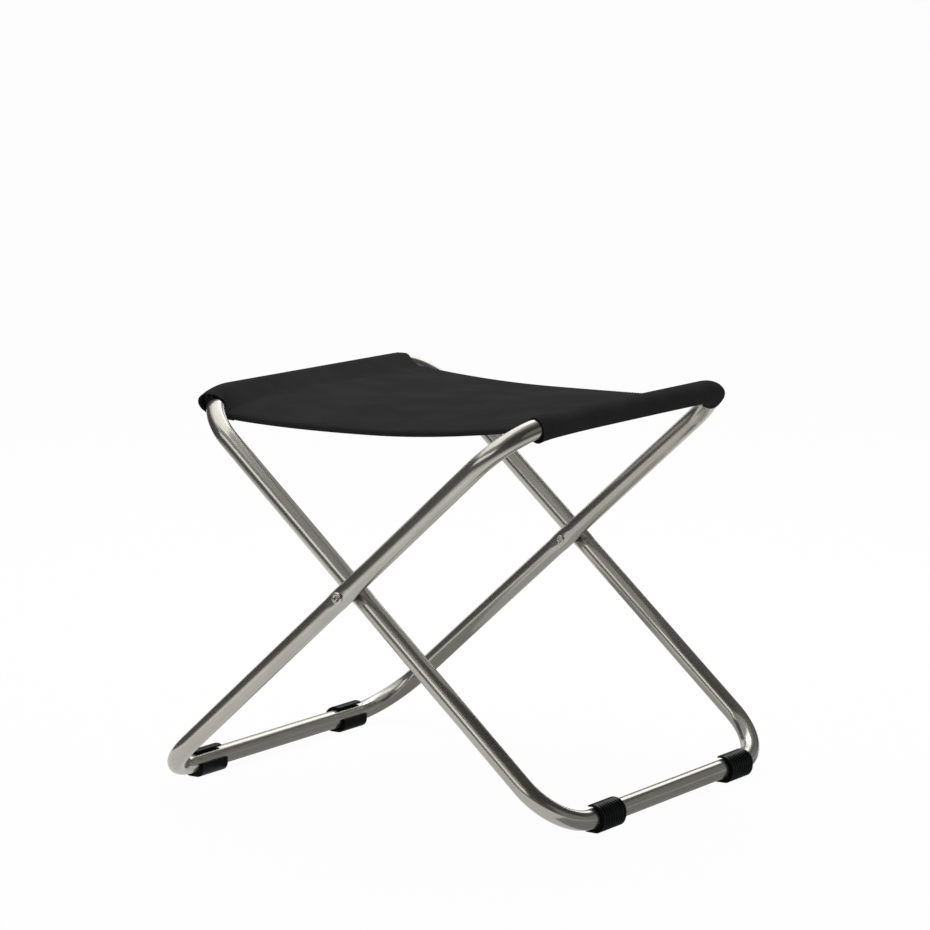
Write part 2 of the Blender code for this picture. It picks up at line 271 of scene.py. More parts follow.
@dataclass(frozen=True)
class SatinStainless:
    """Stainless tube, drawn and then belt-ground along its length to a satin finish.

    The eye gets a slightly warm grey metal. Its highlights are drawn out along the tube and broken by fine
    lengthwise marks and faint cloudiness, under a haze of light that the scratches scatter widely.
    """

    name: str = "satin_stainless_steel"
    bright: str = "#b8b6ae"
    dull: str = "#aaa8a0"
    smoothest: float = 0.13
    roughest: float = 0.20
    haze_roughness: float = 0.50
    haze_share: float = 0.30
    mark_length: float = 0.090
    mark_width: float = 0.0012    # real grinding marks are finer, drawn this coarse to show
    cloud_size: float = 0.060
    mark_depth: float = 0.000006

    def material(self, space: PatternSpace) -> bpy.types.Material:
        """Build the steel: marks stretched along the surface's first direction, clouds over them.

        Args:
            space: where the pattern is read from.

        Returns:
            The material.
        """
        material, tree = empty_material(f"{self.name}_{space.name.lower()}")
        place = add_node(tree, "ShaderNodeTexCoord", {}).outputs[space.value]
        stretch = (1.0 / self.mark_length, 1.0 / self.mark_width, 1.0 / self.mark_width)
        along = add_node(tree, "ShaderNodeMapping", {"Vector": place, "Scale": stretch}).outputs["Vector"]
        marks = add_node(tree, "ShaderNodeTexNoise", {
            "Vector": along, "Scale": 1.0, "Detail": 3.0, "Roughness": 0.6}).outputs["Fac"]
        clouds = add_node(tree, "ShaderNodeTexNoise", {
            "Vector": place, "Scale": 1.0 / self.cloud_size, "Detail": 2.0}).outputs["Fac"]
        worn = add_node(tree, "ShaderNodeMath", {0: marks, 1: clouds}, operation="MULTIPLY").outputs[0]
        rough = add_node(tree, "ShaderNodeMapRange", {
            "Value": worn, "From Min": 0.12, "From Max": 0.42,
            "To Min": self.smoothest, "To Max": self.roughest}).outputs["Result"]
        tint = add_node(tree, "ShaderNodeMapRange", {
            "Value": worn, "From Min": 0.12, "From Max": 0.42}).outputs["Result"]
        colour = add_node(tree, "ShaderNodeMix", {
            "Factor": tint, "A": linear(self.bright), "B": linear(self.dull)}, data_type="RGBA")
        bump = add_node(tree, "ShaderNodeBump", {
            "Height": marks, "Strength": 0.2, "Distance": self.mark_depth}).outputs["Normal"]
        shader = add_node(tree, "ShaderNodeBsdfPrincipled", {
            "Base Color": colour.outputs["Result"], "Metallic": 1.0, "Roughness": rough, "Normal": bump})
        haze = add_node(tree, "ShaderNodeBsdfPrincipled", {
            "Base Color": colour.outputs["Result"], "Metallic": 1.0, "Roughness": self.haze_roughness})
        satin = add_node(tree, "ShaderNodeMixShader", {
            0: self.haze_share, 1: shader.outputs[0], 2: haze.outputs[0]})
        add_node(tree, "ShaderNodeOutputMaterial", {"Surface": satin.outputs[0]})
        return material


@dataclass(frozen=True)
class RivetSteel:
    """Nickel-plated steel rivet, pressed and rolled over.

    The eye gets bright rims, grey hollows and the small dull marks of the press.
    """

    name: str = "nickel_plated_rivet_steel"
    bright: str = "#cbc7be"
    dull: str = "#a8a49c"
    smoothest: float = 0.20
    roughest: float = 0.30
    mark_size: float = 0.0024
    mark_depth: float = 0.00002

    def material(self) -> bpy.types.Material:
        """Build the rivet steel: small blotches that darken and dull it.

        Returns:
            The material.
        """
        material, tree = empty_material(self.name)
        place = add_node(tree, "ShaderNodeTexCoord", {}).outputs["Object"]
        marks = add_node(tree, "ShaderNodeTexNoise", {
            "Vector": place, "Scale": 1.0 / self.mark_size, "Detail": 3.0}).outputs["Fac"]
        rough = add_node(tree, "ShaderNodeMapRange", {
            "Value": marks, "From Min": 0.35, "From Max": 0.70,
            "To Min": self.smoothest, "To Max": self.roughest}).outputs["Result"]
        tint = add_node(tree, "ShaderNodeMapRange", {
            "Value": marks, "From Min": 0.40, "From Max": 0.80}).outputs["Result"]
        colour = add_node(tree, "ShaderNodeMix", {
            "Factor": tint, "A": linear(self.bright), "B": linear(self.dull)}, data_type="RGBA")
        bump = add_node(tree, "ShaderNodeBump", {
            "Height": marks, "Strength": 0.15, "Distance": self.mark_depth}).outputs["Normal"]
        shader = add_node(tree, "ShaderNodeBsdfPrincipled", {
            "Base Color": colour.outputs["Result"], "Metallic": 1.0, "Roughness": rough, "Normal": bump})
        add_node(tree, "ShaderNodeOutputMaterial", {"Surface": shader.outputs[0]})
        return material


@dataclass(frozen=True)
class MouldedBlack:
    """Black polymer from a mould, for the feet (rubbery) and the spacers (nylon).

    The eye gets a deep black with a soft broad sheen, a fine spark-eroded grain and a little scuffing.
    """

    name: str
    deep: str
    scuffed: str
    roughness: float
    roughness_spread: float
    specular: float
    grain: float = 0.0006         # real mould grain is about 0.2 mm, drawn coarser to show
    patch: float = 0.014
    grain_depth: float = 0.00005

    def material(self) -> bpy.types.Material:
        """Build the polymer: fine grain in the bump, patches in the colour and the roughness.

        Returns:
            The material.
        """
        material, tree = empty_material(self.name)
        place = add_node(tree, "ShaderNodeTexCoord", {}).outputs["Object"]
        grain = add_node(tree, "ShaderNodeTexNoise", {
            "Vector": place, "Scale": 1.0 / self.grain, "Detail": 2.0}).outputs["Fac"]
        patch = add_node(tree, "ShaderNodeTexNoise", {
            "Vector": place, "Scale": 1.0 / self.patch, "Detail": 4.0, "Roughness": 0.65}).outputs["Fac"]
        tint = add_node(tree, "ShaderNodeMapRange", {
            "Value": patch, "From Min": 0.45, "From Max": 0.85}).outputs["Result"]
        colour = add_node(tree, "ShaderNodeMix", {
            "Factor": tint, "A": linear(self.deep), "B": linear(self.scuffed)}, data_type="RGBA")
        rough = add_node(tree, "ShaderNodeMapRange", {
            "Value": patch, "From Min": 0.3, "From Max": 0.75,
            "To Min": self.roughness - self.roughness_spread,
            "To Max": self.roughness + self.roughness_spread}).outputs["Result"]
        bump = add_node(tree, "ShaderNodeBump", {
            "Height": grain, "Strength": 0.35, "Distance": self.grain_depth}).outputs["Normal"]
        shader = add_node(tree, "ShaderNodeBsdfPrincipled", {
            "Base Color": colour.outputs["Result"], "Roughness": rough,
            "Specular IOR Level": self.specular, "Normal": bump})
        add_node(tree, "ShaderNodeOutputMaterial", {"Surface": shader.outputs[0]})
        return material


@dataclass(frozen=True)
class WovenPolyester:
    """Plain-woven polyester canvas, dyed black, and in a paler tone its coated inner face.

    The eye gets a matt surface with the fine over-and-under of its threads, a little faded in patches. The
    coating fills the weave, so it looks smoother, and it throws more light back at the legs.
    """

    name: str = "woven_polyester_canvas"
    # the valley colour is painted shade in the hollows between the threads, the crown colour their tops
    crown: str = "#343434"
    valley: str = "#262626"
    faded: str = "#3a3a3a"
    thread: float = 0.0010        # real thread is about 0.5 mm apart, drawn coarser to show
    patch: float = 0.070
    roughness: float = 0.92
    specular: float = 0.0         # threads scatter the light, so none of it is mirrored
    weave_depth: float = 0.00016

    def material(self) -> bpy.types.Material:
        """Build the canvas: the product of two sines gives the over-and-under of warp and weft, with painted
        shade in its hollows.

        Returns:
            The material.
        """
        material, tree = empty_material(self.name)
        place = add_node(tree, "ShaderNodeTexCoord", {}).outputs["UV"]
        split = add_node(tree, "ShaderNodeSeparateXYZ", {"Vector": place})
        turn = math.pi / self.thread
        waves = []
        for axis in ("X", "Y"):
            phase = add_node(tree, "ShaderNodeMath", {
                0: split.outputs[axis], 1: turn}, operation="MULTIPLY").outputs[0]
            waves.append(add_node(tree, "ShaderNodeMath", {0: phase}, operation="SINE").outputs[0])
        over = add_node(tree, "ShaderNodeMath", {
            0: waves[0], 1: waves[1]}, operation="MULTIPLY").outputs[0]
        crown = add_node(tree, "ShaderNodeMapRange", {
            "Value": over, "From Min": -1.0, "From Max": 1.0}).outputs["Result"]
        patch = add_node(tree, "ShaderNodeTexNoise", {
            "Vector": place, "Scale": 1.0 / self.patch, "Detail": 4.0, "Roughness": 0.6}).outputs["Fac"]
        fade = add_node(tree, "ShaderNodeMapRange", {
            "Value": patch, "From Min": 0.42, "From Max": 0.80, "To Max": 0.55}).outputs["Result"]
        # painted shade: the weave's hollows are drawn darker than the threads' tops
        weave = add_node(tree, "ShaderNodeMix", {
            "Factor": crown, "A": linear(self.valley), "B": linear(self.crown)}, data_type="RGBA")
        colour = add_node(tree, "ShaderNodeMix", {
            "Factor": fade, "A": weave.outputs["Result"], "B": linear(self.faded)}, data_type="RGBA")
        bump = add_node(tree, "ShaderNodeBump", {
            "Height": crown, "Strength": 0.5, "Distance": self.weave_depth}).outputs["Normal"]
        shader = add_node(tree, "ShaderNodeBsdfPrincipled", {
            "Base Color": colour.outputs["Result"], "Roughness": self.roughness,
            "Specular IOR Level": self.specular, "Normal": bump})
        add_node(tree, "ShaderNodeOutputMaterial", {"Surface": shader.outputs[0]})
        return material


@dataclass(frozen=True)
class SewingThread:
    """Bonded polyester sewing thread, black like the cloth, with its twist just showing."""

    name: str = "bonded_polyester_thread"
    light: str = "#323232"
    dark: str = "#202020"
    twist: float = 0.0007
    roughness: float = 0.75
    specular: float = 0.04

    def material(self) -> bpy.types.Material:
        """Build the thread: fine noise for the twist of its strands.

        Returns:
            The material.
        """
        material, tree = empty_material(self.name)
        place = add_node(tree, "ShaderNodeTexCoord", {}).outputs["Object"]
        strands = add_node(tree, "ShaderNodeTexNoise", {
            "Vector": place, "Scale": 1.0 / self.twist, "Detail": 1.0}).outputs["Fac"]
        colour = add_node(tree, "ShaderNodeMix", {
            "Factor": strands, "A": linear(self.dark), "B": linear(self.light)}, data_type="RGBA")
        shader = add_node(tree, "ShaderNodeBsdfPrincipled", {
            "Base Color": colour.outputs["Result"], "Roughness": self.roughness,
            "Specular IOR Level": self.specular})
        add_node(tree, "ShaderNodeOutputMaterial", {"Surface": shader.outputs[0]})
        return material


@dataclass(frozen=True)
class StoolSizes:
    """Sizes that the loops, pivots, feet and seat share. They repeat those of the CAD parts."""

    tube_d: float = 0.020
    tube_wall: float = 0.0012
    loop_width: float = 0.413
    loop_offset: float = 0.027
    leg_below: float = 0.319
    leg_above: float = 0.271
    bend_radius: float = 0.058
    leg_angle: float = math.radians(48.4)
    bar_height: float = 0.0145
    pivot_thickness: float = 0.018
    shank_d: float = 0.006
    fit_gap: float = 0.0003

    @property
    def pivot_height(self) -> float:
        """Height of the pivots' axis."""
        return self.bar_height + self.leg_below * math.cos(self.leg_angle)

    @property
    def seat_bar_height(self) -> float:
        """Height of the seat bars' axes."""
        return self.pivot_height + self.leg_above * math.cos(self.leg_angle)

    @property
    def seat_bar_x(self) -> float:
        """Distance of a seat bar's axis from the middle."""
        return self.leg_above * math.sin(self.leg_angle)

    @property
    def floor_bar_x(self) -> float:
        """Distance of a bottom bar's axis from the middle."""
        return self.leg_below * math.sin(self.leg_angle)

    @property
    def near_leg_y(self) -> float:
        """Place of loop A's near leg."""
        return -(self.loop_offset + self.loop_width) / 2

    @property
    def far_leg_y(self) -> float:
        """Place of loop A's far leg."""
        return (self.loop_width - self.loop_offset) / 2

    def stand(self, loop: Loop, points: np.ndarray) -> np.ndarray:
        """Put points of loop A's own plane into the frame, or those of loop B by a half turn about Z.

        Args:
            loop: which loop.
            points: (across the plane, y, along the leg from the pivot).

        Returns:
            Points in the frame.
        """
        across, y, along = points[..., 0], points[..., 1], points[..., 2]
        x = across * math.cos(self.leg_angle) + along * math.sin(self.leg_angle)
        z = self.pivot_height - across * math.sin(self.leg_angle) + along * math.cos(self.leg_angle)
        return np.stack((loop.value * x, loop.value * y, z), axis=-1)


def half_turn(loop: Loop, points: np.ndarray) -> np.ndarray:
    """Turn points drawn for loop A half round about Z where they belong to loop B."""
    return points * np.array((loop.value, loop.value, 1.0))


@dataclass
class TubeLoop:
    """One closed loop of bent tube with its two legs pressed flat and drilled at the pivots."""

    sizes: StoolSizes
    loop: Loop
    butt_gap: float = 0.0006
    flat_half_length: float = 0.0040
    flat_runout: float = 0.0130
    flat_stations: int = 24
    flat_margin: float = 1.05     # even stations keep this many times the flat's reach from the pivot
    station_step: float = 0.0034
    sides: int = 44
    drill_sides: int = 40

    def path(self) -> np.ndarray:
        """The tube's axis: straight runs joined by four quarter circles, sampled at about equal steps.

        Returns:
            Rows of (y, distance along the leg from the pivot, heading in the loop's plane).
        """
        s = self.sizes
        middle = (s.near_leg_y + s.far_leg_y) / 2
        corners = ((s.far_leg_y, s.leg_above), (s.far_leg_y, -s.leg_below),
                   (s.near_leg_y, -s.leg_below), (s.near_leg_y, s.leg_above))
        bend_steps = math.ceil(s.bend_radius * math.pi / 2 / self.station_step)
        stretches = []
        start = np.array((middle + self.butt_gap / 2, s.leg_above))
        for number, corner in enumerate(corners):
            heading = -number * math.pi / 2
            along = np.array((math.cos(heading), math.sin(heading)))
            right = np.array((along[1], -along[0]))
            turn_in = np.array(corner) - s.bend_radius * along
            stretches.append(self.straight(start, turn_in, heading))
            turn = np.linspace(0.0, math.pi / 2, bend_steps + 1)[:-1, None]
            bend = turn_in + s.bend_radius * (np.sin(turn) * along + (1.0 - np.cos(turn)) * right)
            stretches.append(np.hstack((bend, heading - turn)))
            start = np.array(corner) + s.bend_radius * right
        end = np.array((middle - self.butt_gap / 2, s.leg_above))
        stretches.append(self.straight(start, end, -2.0 * math.pi))
        last = np.array(((end[0], end[1], -2.0 * math.pi),))
        return np.concatenate((*stretches, last))

    def straight(self, start: np.ndarray, end: np.ndarray, heading: float) -> np.ndarray:
        """A straight run from one point up to, but not at, another, in closer steps where a leg is pressed.

        Args:
            start: first point.
            end: point where the run stops.
            heading: direction of the run.

        Returns:
            Rows of (y, distance along the leg, heading).
        """
        length = float(np.linalg.norm(end - start))
        share = np.linspace(0.0, 1.0, math.ceil(length / self.station_step) + 1)[:-1]
        if start[1] * end[1] < 0.0:
            pivot = start[1] / (start[1] - end[1])
            reach = (self.flat_half_length + self.flat_runout) / length
            close = pivot + reach * np.linspace(-1.0, 1.0, self.flat_stations + 1)
            even = share[np.abs(share - pivot) > self.flat_margin * reach]
            share = np.sort(np.concatenate((even, close)))
        share = share[:, None]
        return np.hstack((start + share * (end - start), np.full_like(share, heading)))

    def thickness(self, path: np.ndarray) -> np.ndarray:
        """The tube's thickness along its path: full, easing down to the pressed flats at the pivots.

        Args:
            path: stations of the tube's axis.

        Returns:
            Thickness at each station.
        """
        s = self.sizes
        on_leg = np.abs(np.cos(path[:, 2])) < 1e-6
        rise = smooth_step((np.abs(path[:, 1]) - self.flat_half_length) / self.flat_runout)
        pressed = s.pivot_thickness + (s.tube_d - s.pivot_thickness) * rise
        return np.where(on_leg, pressed, s.tube_d)

    def skin(self, path: np.ndarray, inset: float) -> np.ndarray:
        """Rings square to the path: a circle, or where it is pressed a stadium of the same girth.

        Args:
            path: stations of the tube's axis.
            inset: how far the skin lies inside the tube's outer face.

        Returns:
            Grid of points in the loop's own plane, a ring in each row.
        """
        thick = self.thickness(path)[:, None] - 2.0 * inset
        half_flat = math.pi * (self.sizes.tube_d - 2.0 * inset - thick) / 4
        angle = 2.0 * math.pi * (np.arange(self.sides) + 0.5) / self.sides
        angle = repeat_first(angle)[None, :]
        across = thick / 2 * np.cos(angle) + np.copysign(half_flat, np.cos(angle))
        out = thick / 2 * np.sin(angle)
        y = path[:, 0:1] - out * np.sin(path[:, 2:3])
        along = path[:, 1:2] + out * np.cos(path[:, 2:3])
        return np.stack((across, y, along), axis=-1)

    def build(self, material: bpy.types.Material) -> bpy.types.Object:
        """Make the loop: outer skin from end to end, then the bore back again, drilled at the pivots.

        Args:
            material: finish of the tube.

        Returns:
            The tube.
        """
        name = f"{self.loop.body}_bent_tube"
        path = self.path()
        rows = np.concatenate((self.skin(path, 0.0), self.skin(path, self.sizes.tube_wall)[::-1]))
        rows = self.sizes.stand(self.loop, repeat_first(rows))
        length = run_length(path[:, :2])
        length = repeat_first(np.concatenate((length, length[::-1])))
        girth = np.linspace(0.0, math.pi * self.sizes.tube_d, self.sides + 1)
        uv = np.stack(np.broadcast_arrays(length[:, None], girth[None, :]), axis=-1)
        tube = surface_piece(name, rows, uv)
        self.drill(tube)
        dress(tube, material)
        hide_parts(f"{self.loop.body}_tube")
        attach(tube, self.loop.body)
        return tube

    def drill(self, tube: bpy.types.Object) -> None:
        """Cut the rivet's hole through both legs with a round drill along the pivots' axis.

        Args:
            tube: the loop, whose mesh gets the holes.
        """
        s = self.sizes
        ring = arc(s.shank_d / 2 + s.fit_gap, 0.0, 2.0 * math.pi, self.drill_sides)
        ends = np.array((-s.loop_width, s.loop_width))[:, None]
        x, y, z = np.broadcast_arrays(ring[:, 0], ends, ring[:, 1] + s.pivot_height)
        cutter = surface_piece("pivot_drill", np.stack((x, y, z), axis=-1), capped=True)
        cut = tube.modifiers.new("pivot_holes", "BOOLEAN")
        cut.operation = "DIFFERENCE"
        cut.object = cutter
        cut.solver = "EXACT"
        shape = bpy.data.meshes.new_from_object(tube.evaluated_get(bpy.context.evaluated_depsgraph_get()))
        tube.modifiers.clear()
        shape.name = tube.data.name
        tube.data = shape
        bpy.data.objects.remove(cutter, do_unlink=True)


@dataclass
class PivotJoint:
    """A pivot: a tubular rivet through both tubes, and the spacer that keeps them apart."""

    sizes: StoolSizes
    loop: Loop
    head_d: float = 0.0120
    head_height: float = 0.0024
    tail_d: float = 0.0080
    tail_height: float = 0.0018
    edge_height: float = 0.0008
    recess_d: float = 0.0044
    recess_floor: float = 0.0010
    stub_d: float = 0.0030
    stub_height: float = 0.0003
    spacer_d: float = 0.015
    spacer_chamfer: float = 0.0005
    spacer_sharp: float = math.radians(30.0)
    sides: int = 48
    roll_steps: int = 12

    @property
    def side(self) -> str:
        """Which side of the stool the pivot is on."""
        return "near" if self.loop is Loop.A else "far"

    @property
    def seat(self) -> float:
        """Distance from the middle of the pivot to the outer face of either tube."""
        return (self.sizes.loop_offset + self.sizes.pivot_thickness) / 2 + self.sizes.fit_gap

    def turned(self, profile: np.ndarray) -> np.ndarray:
        """Turn a profile about the pivot's axis.

        Args:
            profile: rows of (radius, place along the axis).

        Returns:
            Grid of points in the frame, a ring in each row.
        """
        angle = repeat_first(2.0 * math.pi * np.arange(self.sides) / self.sides)
        x = profile[:, 0:1] * np.cos(angle)
        z = profile[:, 0:1] * np.sin(angle) + self.sizes.pivot_height
        y = profile[:, 1:2] + np.zeros_like(x) - self.sizes.loop_width / 2
        return half_turn(self.loop, np.stack((x, y, z), axis=-1))

    def rolled_end(self, end: RivetEnd) -> np.ndarray:
        """Profile of one end: a hollow with a small stub in it, then a rim rolled over in half an ellipse.

        Args:
            end: head or tail.

        Returns:
            Rows of (radius, place along the axis) from the axis to the tube.
        """
        outer = (self.head_d if end is RivetEnd.HEAD else self.tail_d) / 2
        height = self.head_height if end is RivetEnd.HEAD else self.tail_height
        recess, stub = self.recess_d / 2, self.stub_d / 2
        crown = arc(1.0, math.pi / 2, 0.0, self.roll_steps) * np.array((stub, self.stub_height))
        roll = arc(1.0, math.pi, 0.0, self.roll_steps)
        roll *= np.array(((outer - recess) / 2, height - self.edge_height))
        roll += np.array(((outer + recess) / 2, self.edge_height))
        crown[:, 1] += self.recess_floor
        profile = np.concatenate((crown, ((recess, self.recess_floor),), roll, ((outer, 0.0),)))
        profile[:, 1] = end.value * (self.seat + profile[:, 1])
        return profile

    def build_rivet(self, material: bpy.types.Material) -> bpy.types.Object:
        """Make the rivet: head, shank and tail in one turned profile.

        Args:
            material: finish of the rivet.

        Returns:
            The rivet.
        """
        shank = self.sizes.shank_d / 2
        grip = np.array(((shank, -self.seat), (shank, self.seat)))
        head, tail = self.rolled_end(RivetEnd.HEAD), self.rolled_end(RivetEnd.TAIL)
        profile = np.concatenate((head, grip, tail[::-1]))
        rivet = surface_piece(f"tubular_rivet_{self.side}", self.turned(profile))
        dress(rivet, material)
        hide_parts(f"pivot_rivet_{self.side}")
        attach(rivet, self.loop.body)
        return rivet

    def build_spacer(self, material: bpy.types.Material) -> bpy.types.Object:
        """Make the spacer: a short bored cylinder with its outer edges broken.

        Args:
            material: finish of the spacer.

        Returns:
            The spacer.
        """
        s = self.sizes
        half = (s.loop_offset - s.pivot_thickness) / 2 - s.fit_gap
        bore = s.shank_d / 2 + s.fit_gap
        edge = self.spacer_d / 2
        cut = self.spacer_chamfer
        profile = np.array(((bore, -half), (edge - cut, -half), (edge, cut - half), (edge, half - cut),
                            (edge - cut, half), (bore, half), (bore, -half)))
        spacer = surface_piece(f"nylon_spacer_{self.side}", self.turned(profile), sharp=self.spacer_sharp)
        dress(spacer, material)
        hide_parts(f"pivot_spacer_{self.side}")
        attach(spacer, self.loop.body)
        return spacer


@dataclass
class ClipFoot:
    """A moulded foot that clips on a bottom bar: an arm hooked over it, a low jaw inside, ribs round it."""

    sizes: StoolSizes
    loop: Loop
    near_leg: bool
    length: float = 0.043
    from_near_leg: float = 0.060
    from_far_leg: float = 0.056
    wall: float = 0.003
    sole_thickness: float = 0.0042
    sole_half_width: float = 0.0045
    heel_drop: float = 0.0015
    toe_drop: float = 0.0055
    heel_spread: float = 0.0006
    arm_spread: float = 0.0017
    arm_tip_angle: float = math.radians(109.0)
    arm_tip_thickness: float = 0.0019
    jaw_top: float = 0.0010
    jaw_round: float = 0.0008
    jaw_lead: float = 0.02        # angle from the jaw's top to where the grip starts
    ribs: int = 9
    ribs_begin: tuple[float, float] = (8.0, 7.0)    # point of the arm, and the points that they rise over
    ribs_end: tuple[float, float] = (11.0, 4.0)     # point of the heel, and the points that they fall over
    groove_depth: float = 0.0006
    groove_power: int = 3         # the higher, the narrower the grooves
    end_round: float = 0.0008
    end_fall: float = 0.6         # share of the end's rounding that goes inwards
    end_stations: tuple[float, ...] = (0.0, 0.12, 0.35, 0.65)
    steps_per_rib: int = 10
    grip_steps: int = 30
    arm_in_steps: int = 20
    arm_out_steps: int = 30
    tip_steps: int = 7
    heel_steps: int = 16
    sole_steps: int = 8
    toe_steps: int = 12
    bead_steps: int = 5

    @property
    def near_side(self) -> bool:
        """Whether the foot is on the near side: loop B is loop A turned half round, so its legs swap."""
        return self.near_leg == (self.loop is Loop.A)

    @property
    def name(self) -> str:
        """Name of the CAD node."""
        return f"foot_{self.loop.name.lower()}_{'near' if self.near_side else 'far'}"

    def outline(self) -> tuple[np.ndarray, np.ndarray, np.ndarray]:
        """The clip's section round the bar's axis: from the jaw under the bar, over the arm and back below.

        Arcs about the bar make the grip and the arm, half a circle its tip, quarter ellipses the heel and
        the toe.

        Returns:
            Points as (outward, up), the share of the ribs at each point, and 1 on the outside or else 0.
        """
        s = self.sizes
        inside = s.tube_d / 2 + s.fit_gap
        outside = inside + self.wall
        heel = outside + self.heel_spread
        sole = -inside - self.sole_thickness
        tip_in = inside + self.arm_spread
        jaw = math.pi - math.asin(self.jaw_top / inside)
        grip = arc(inside, jaw + self.jaw_lead, 2.0 * math.pi, self.grip_steps)
        widening = np.linspace(inside, tip_in, self.arm_in_steps + 1)
        arm_in = arc(widening, 0.0, self.arm_tip_angle, self.arm_in_steps)[1:]
        turn = np.array((math.cos(self.arm_tip_angle), math.sin(self.arm_tip_angle)))
        beyond = np.array((-turn[1], turn[0]))
        half = np.linspace(0.0, math.pi, self.tip_steps + 1)[1:-1, None]
        tip = (tip_in + self.arm_tip_thickness / 2 * (1.0 - np.cos(half))) * turn
        tip = tip + self.arm_tip_thickness / 2 * np.sin(half) * beyond
        narrowing = np.linspace(tip_in + self.arm_tip_thickness, heel, self.arm_out_steps + 1)
        arm_out = arc(narrowing, self.arm_tip_angle, 0.0, self.arm_out_steps)
        flat = self.sole_half_width
        back = arc(1.0, 0.0, -math.pi / 2, self.heel_steps)[1:]
        back *= np.array((heel - flat, -self.heel_drop - sole))
        back += np.array((flat, -self.heel_drop))
        floor = np.linspace((flat, sole), (-flat, sole), self.sole_steps + 1)[1:]
        front = arc(1.0, -math.pi / 2, -math.pi, self.toe_steps)[1:]
        front *= np.array((outside - flat, -self.toe_drop - sole))
        front += np.array((-flat, -self.toe_drop))
        bead = arc(self.jaw_round, math.pi, math.pi / 2, self.bead_steps)
        jaw_edge = bead + np.array((self.jaw_round - outside, self.jaw_top - self.jaw_round))
        points = np.concatenate((grip, arm_in, tip, arm_out, back, floor, front, jaw_edge))
        plain = np.zeros(len(grip) + len(arm_in) + len(tip))
        rise = smooth_step((np.arange(len(arm_out)) - self.ribs_begin[0]) / self.ribs_begin[1])
        fall = 1.0 - smooth_step((np.arange(len(back)) - self.ribs_end[0]) / self.ribs_end[1])
        ribbed = np.concatenate((plain, rise, fall, np.zeros(len(floor) + len(front) + len(jaw_edge))))
        outer = np.ones(len(points))
        outer[:len(grip) + len(arm_in)] = 0.0
        return points, ribbed, outer

    @staticmethod
    def outward(ring: np.ndarray) -> np.ndarray:
        """Unit normals of a closed outline, pointing out of it: its tangents turned by a right angle.

        Args:
            ring: points of the outline, each of them once.

        Returns:
            One normal for each point.
        """
        before, after = np.roll(ring, 1, axis=0), np.roll(ring, -1, axis=0)
        tangent = after - before
        normal = np.stack((tangent[:, 1], -tangent[:, 0]), axis=-1)
        spin = np.sum(ring[:, 0] * after[:, 1] - ring[:, 1] * after[:, 0])
        return np.sign(spin) * normal / np.linalg.norm(normal, axis=-1, keepdims=True)

    def surface(self) -> np.ndarray:
        """Draw the section along the bar, cut by rounded grooves between the ribs and eased at both ends.

        A point moves inwards along the section's normal by the groove's depth times a power of a cosine
        of its place along the bar, and near the ends by a quarter circle's fall.

        Returns:
            Grid of points in the frame, a section in each row.
        """
        s = self.sizes
        ring, ribbed, outer = self.outline()
        normal = repeat_first(self.outward(ring))
        points, ribbed, outer = repeat_first(ring), repeat_first(ribbed), repeat_first(outer)
        ease = self.end_round * np.array(self.end_stations)
        inner = np.linspace(self.end_round, self.length - self.end_round,
                            self.ribs * self.steps_per_rib + 1)
        along = np.concatenate((ease, inner, (self.length - ease)[::-1]))
        share = along / self.length * self.ribs
        groove = (0.5 + 0.5 * np.cos(2.0 * math.pi * share)) ** self.groove_power
        groove = np.where((share < 0.5) | (share > self.ribs - 0.5), 0.0, groove)
        from_end = np.clip(np.minimum(along, self.length - along) / self.end_round, 0.0, 1.0)
        fall = self.end_round * (1.0 - np.sqrt(1.0 - (1.0 - from_end) ** 2))
        grooves = self.groove_depth * groove[:, None] * ribbed[None, :]
        ends = self.end_fall * fall[:, None] * outer[None, :]
        section = points[None, :, :] - (grooves + ends)[:, :, None] * normal[None, :, :]
        from_leg = self.from_near_leg if self.near_side else self.from_far_leg
        start = s.near_leg_y + from_leg if self.near_leg else s.far_leg_y - from_leg - self.length
        x = -s.floor_bar_x - section[..., 0]
        y = np.broadcast_to((start + along)[:, None], x.shape)
        return half_turn(self.loop, np.stack((x, y, section[..., 1] + s.bar_height), axis=-1))

    def build(self, material: bpy.types.Material) -> bpy.types.Object:
        """Make the foot.

        Args:
            material: finish of the foot.

        Returns:
            The foot.
        """
        foot = surface_piece(f"ribbed_{self.name}", self.surface(), capped=True)
        dress(foot, material)
        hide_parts(self.name)
        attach(foot, self.loop.body)
        return foot


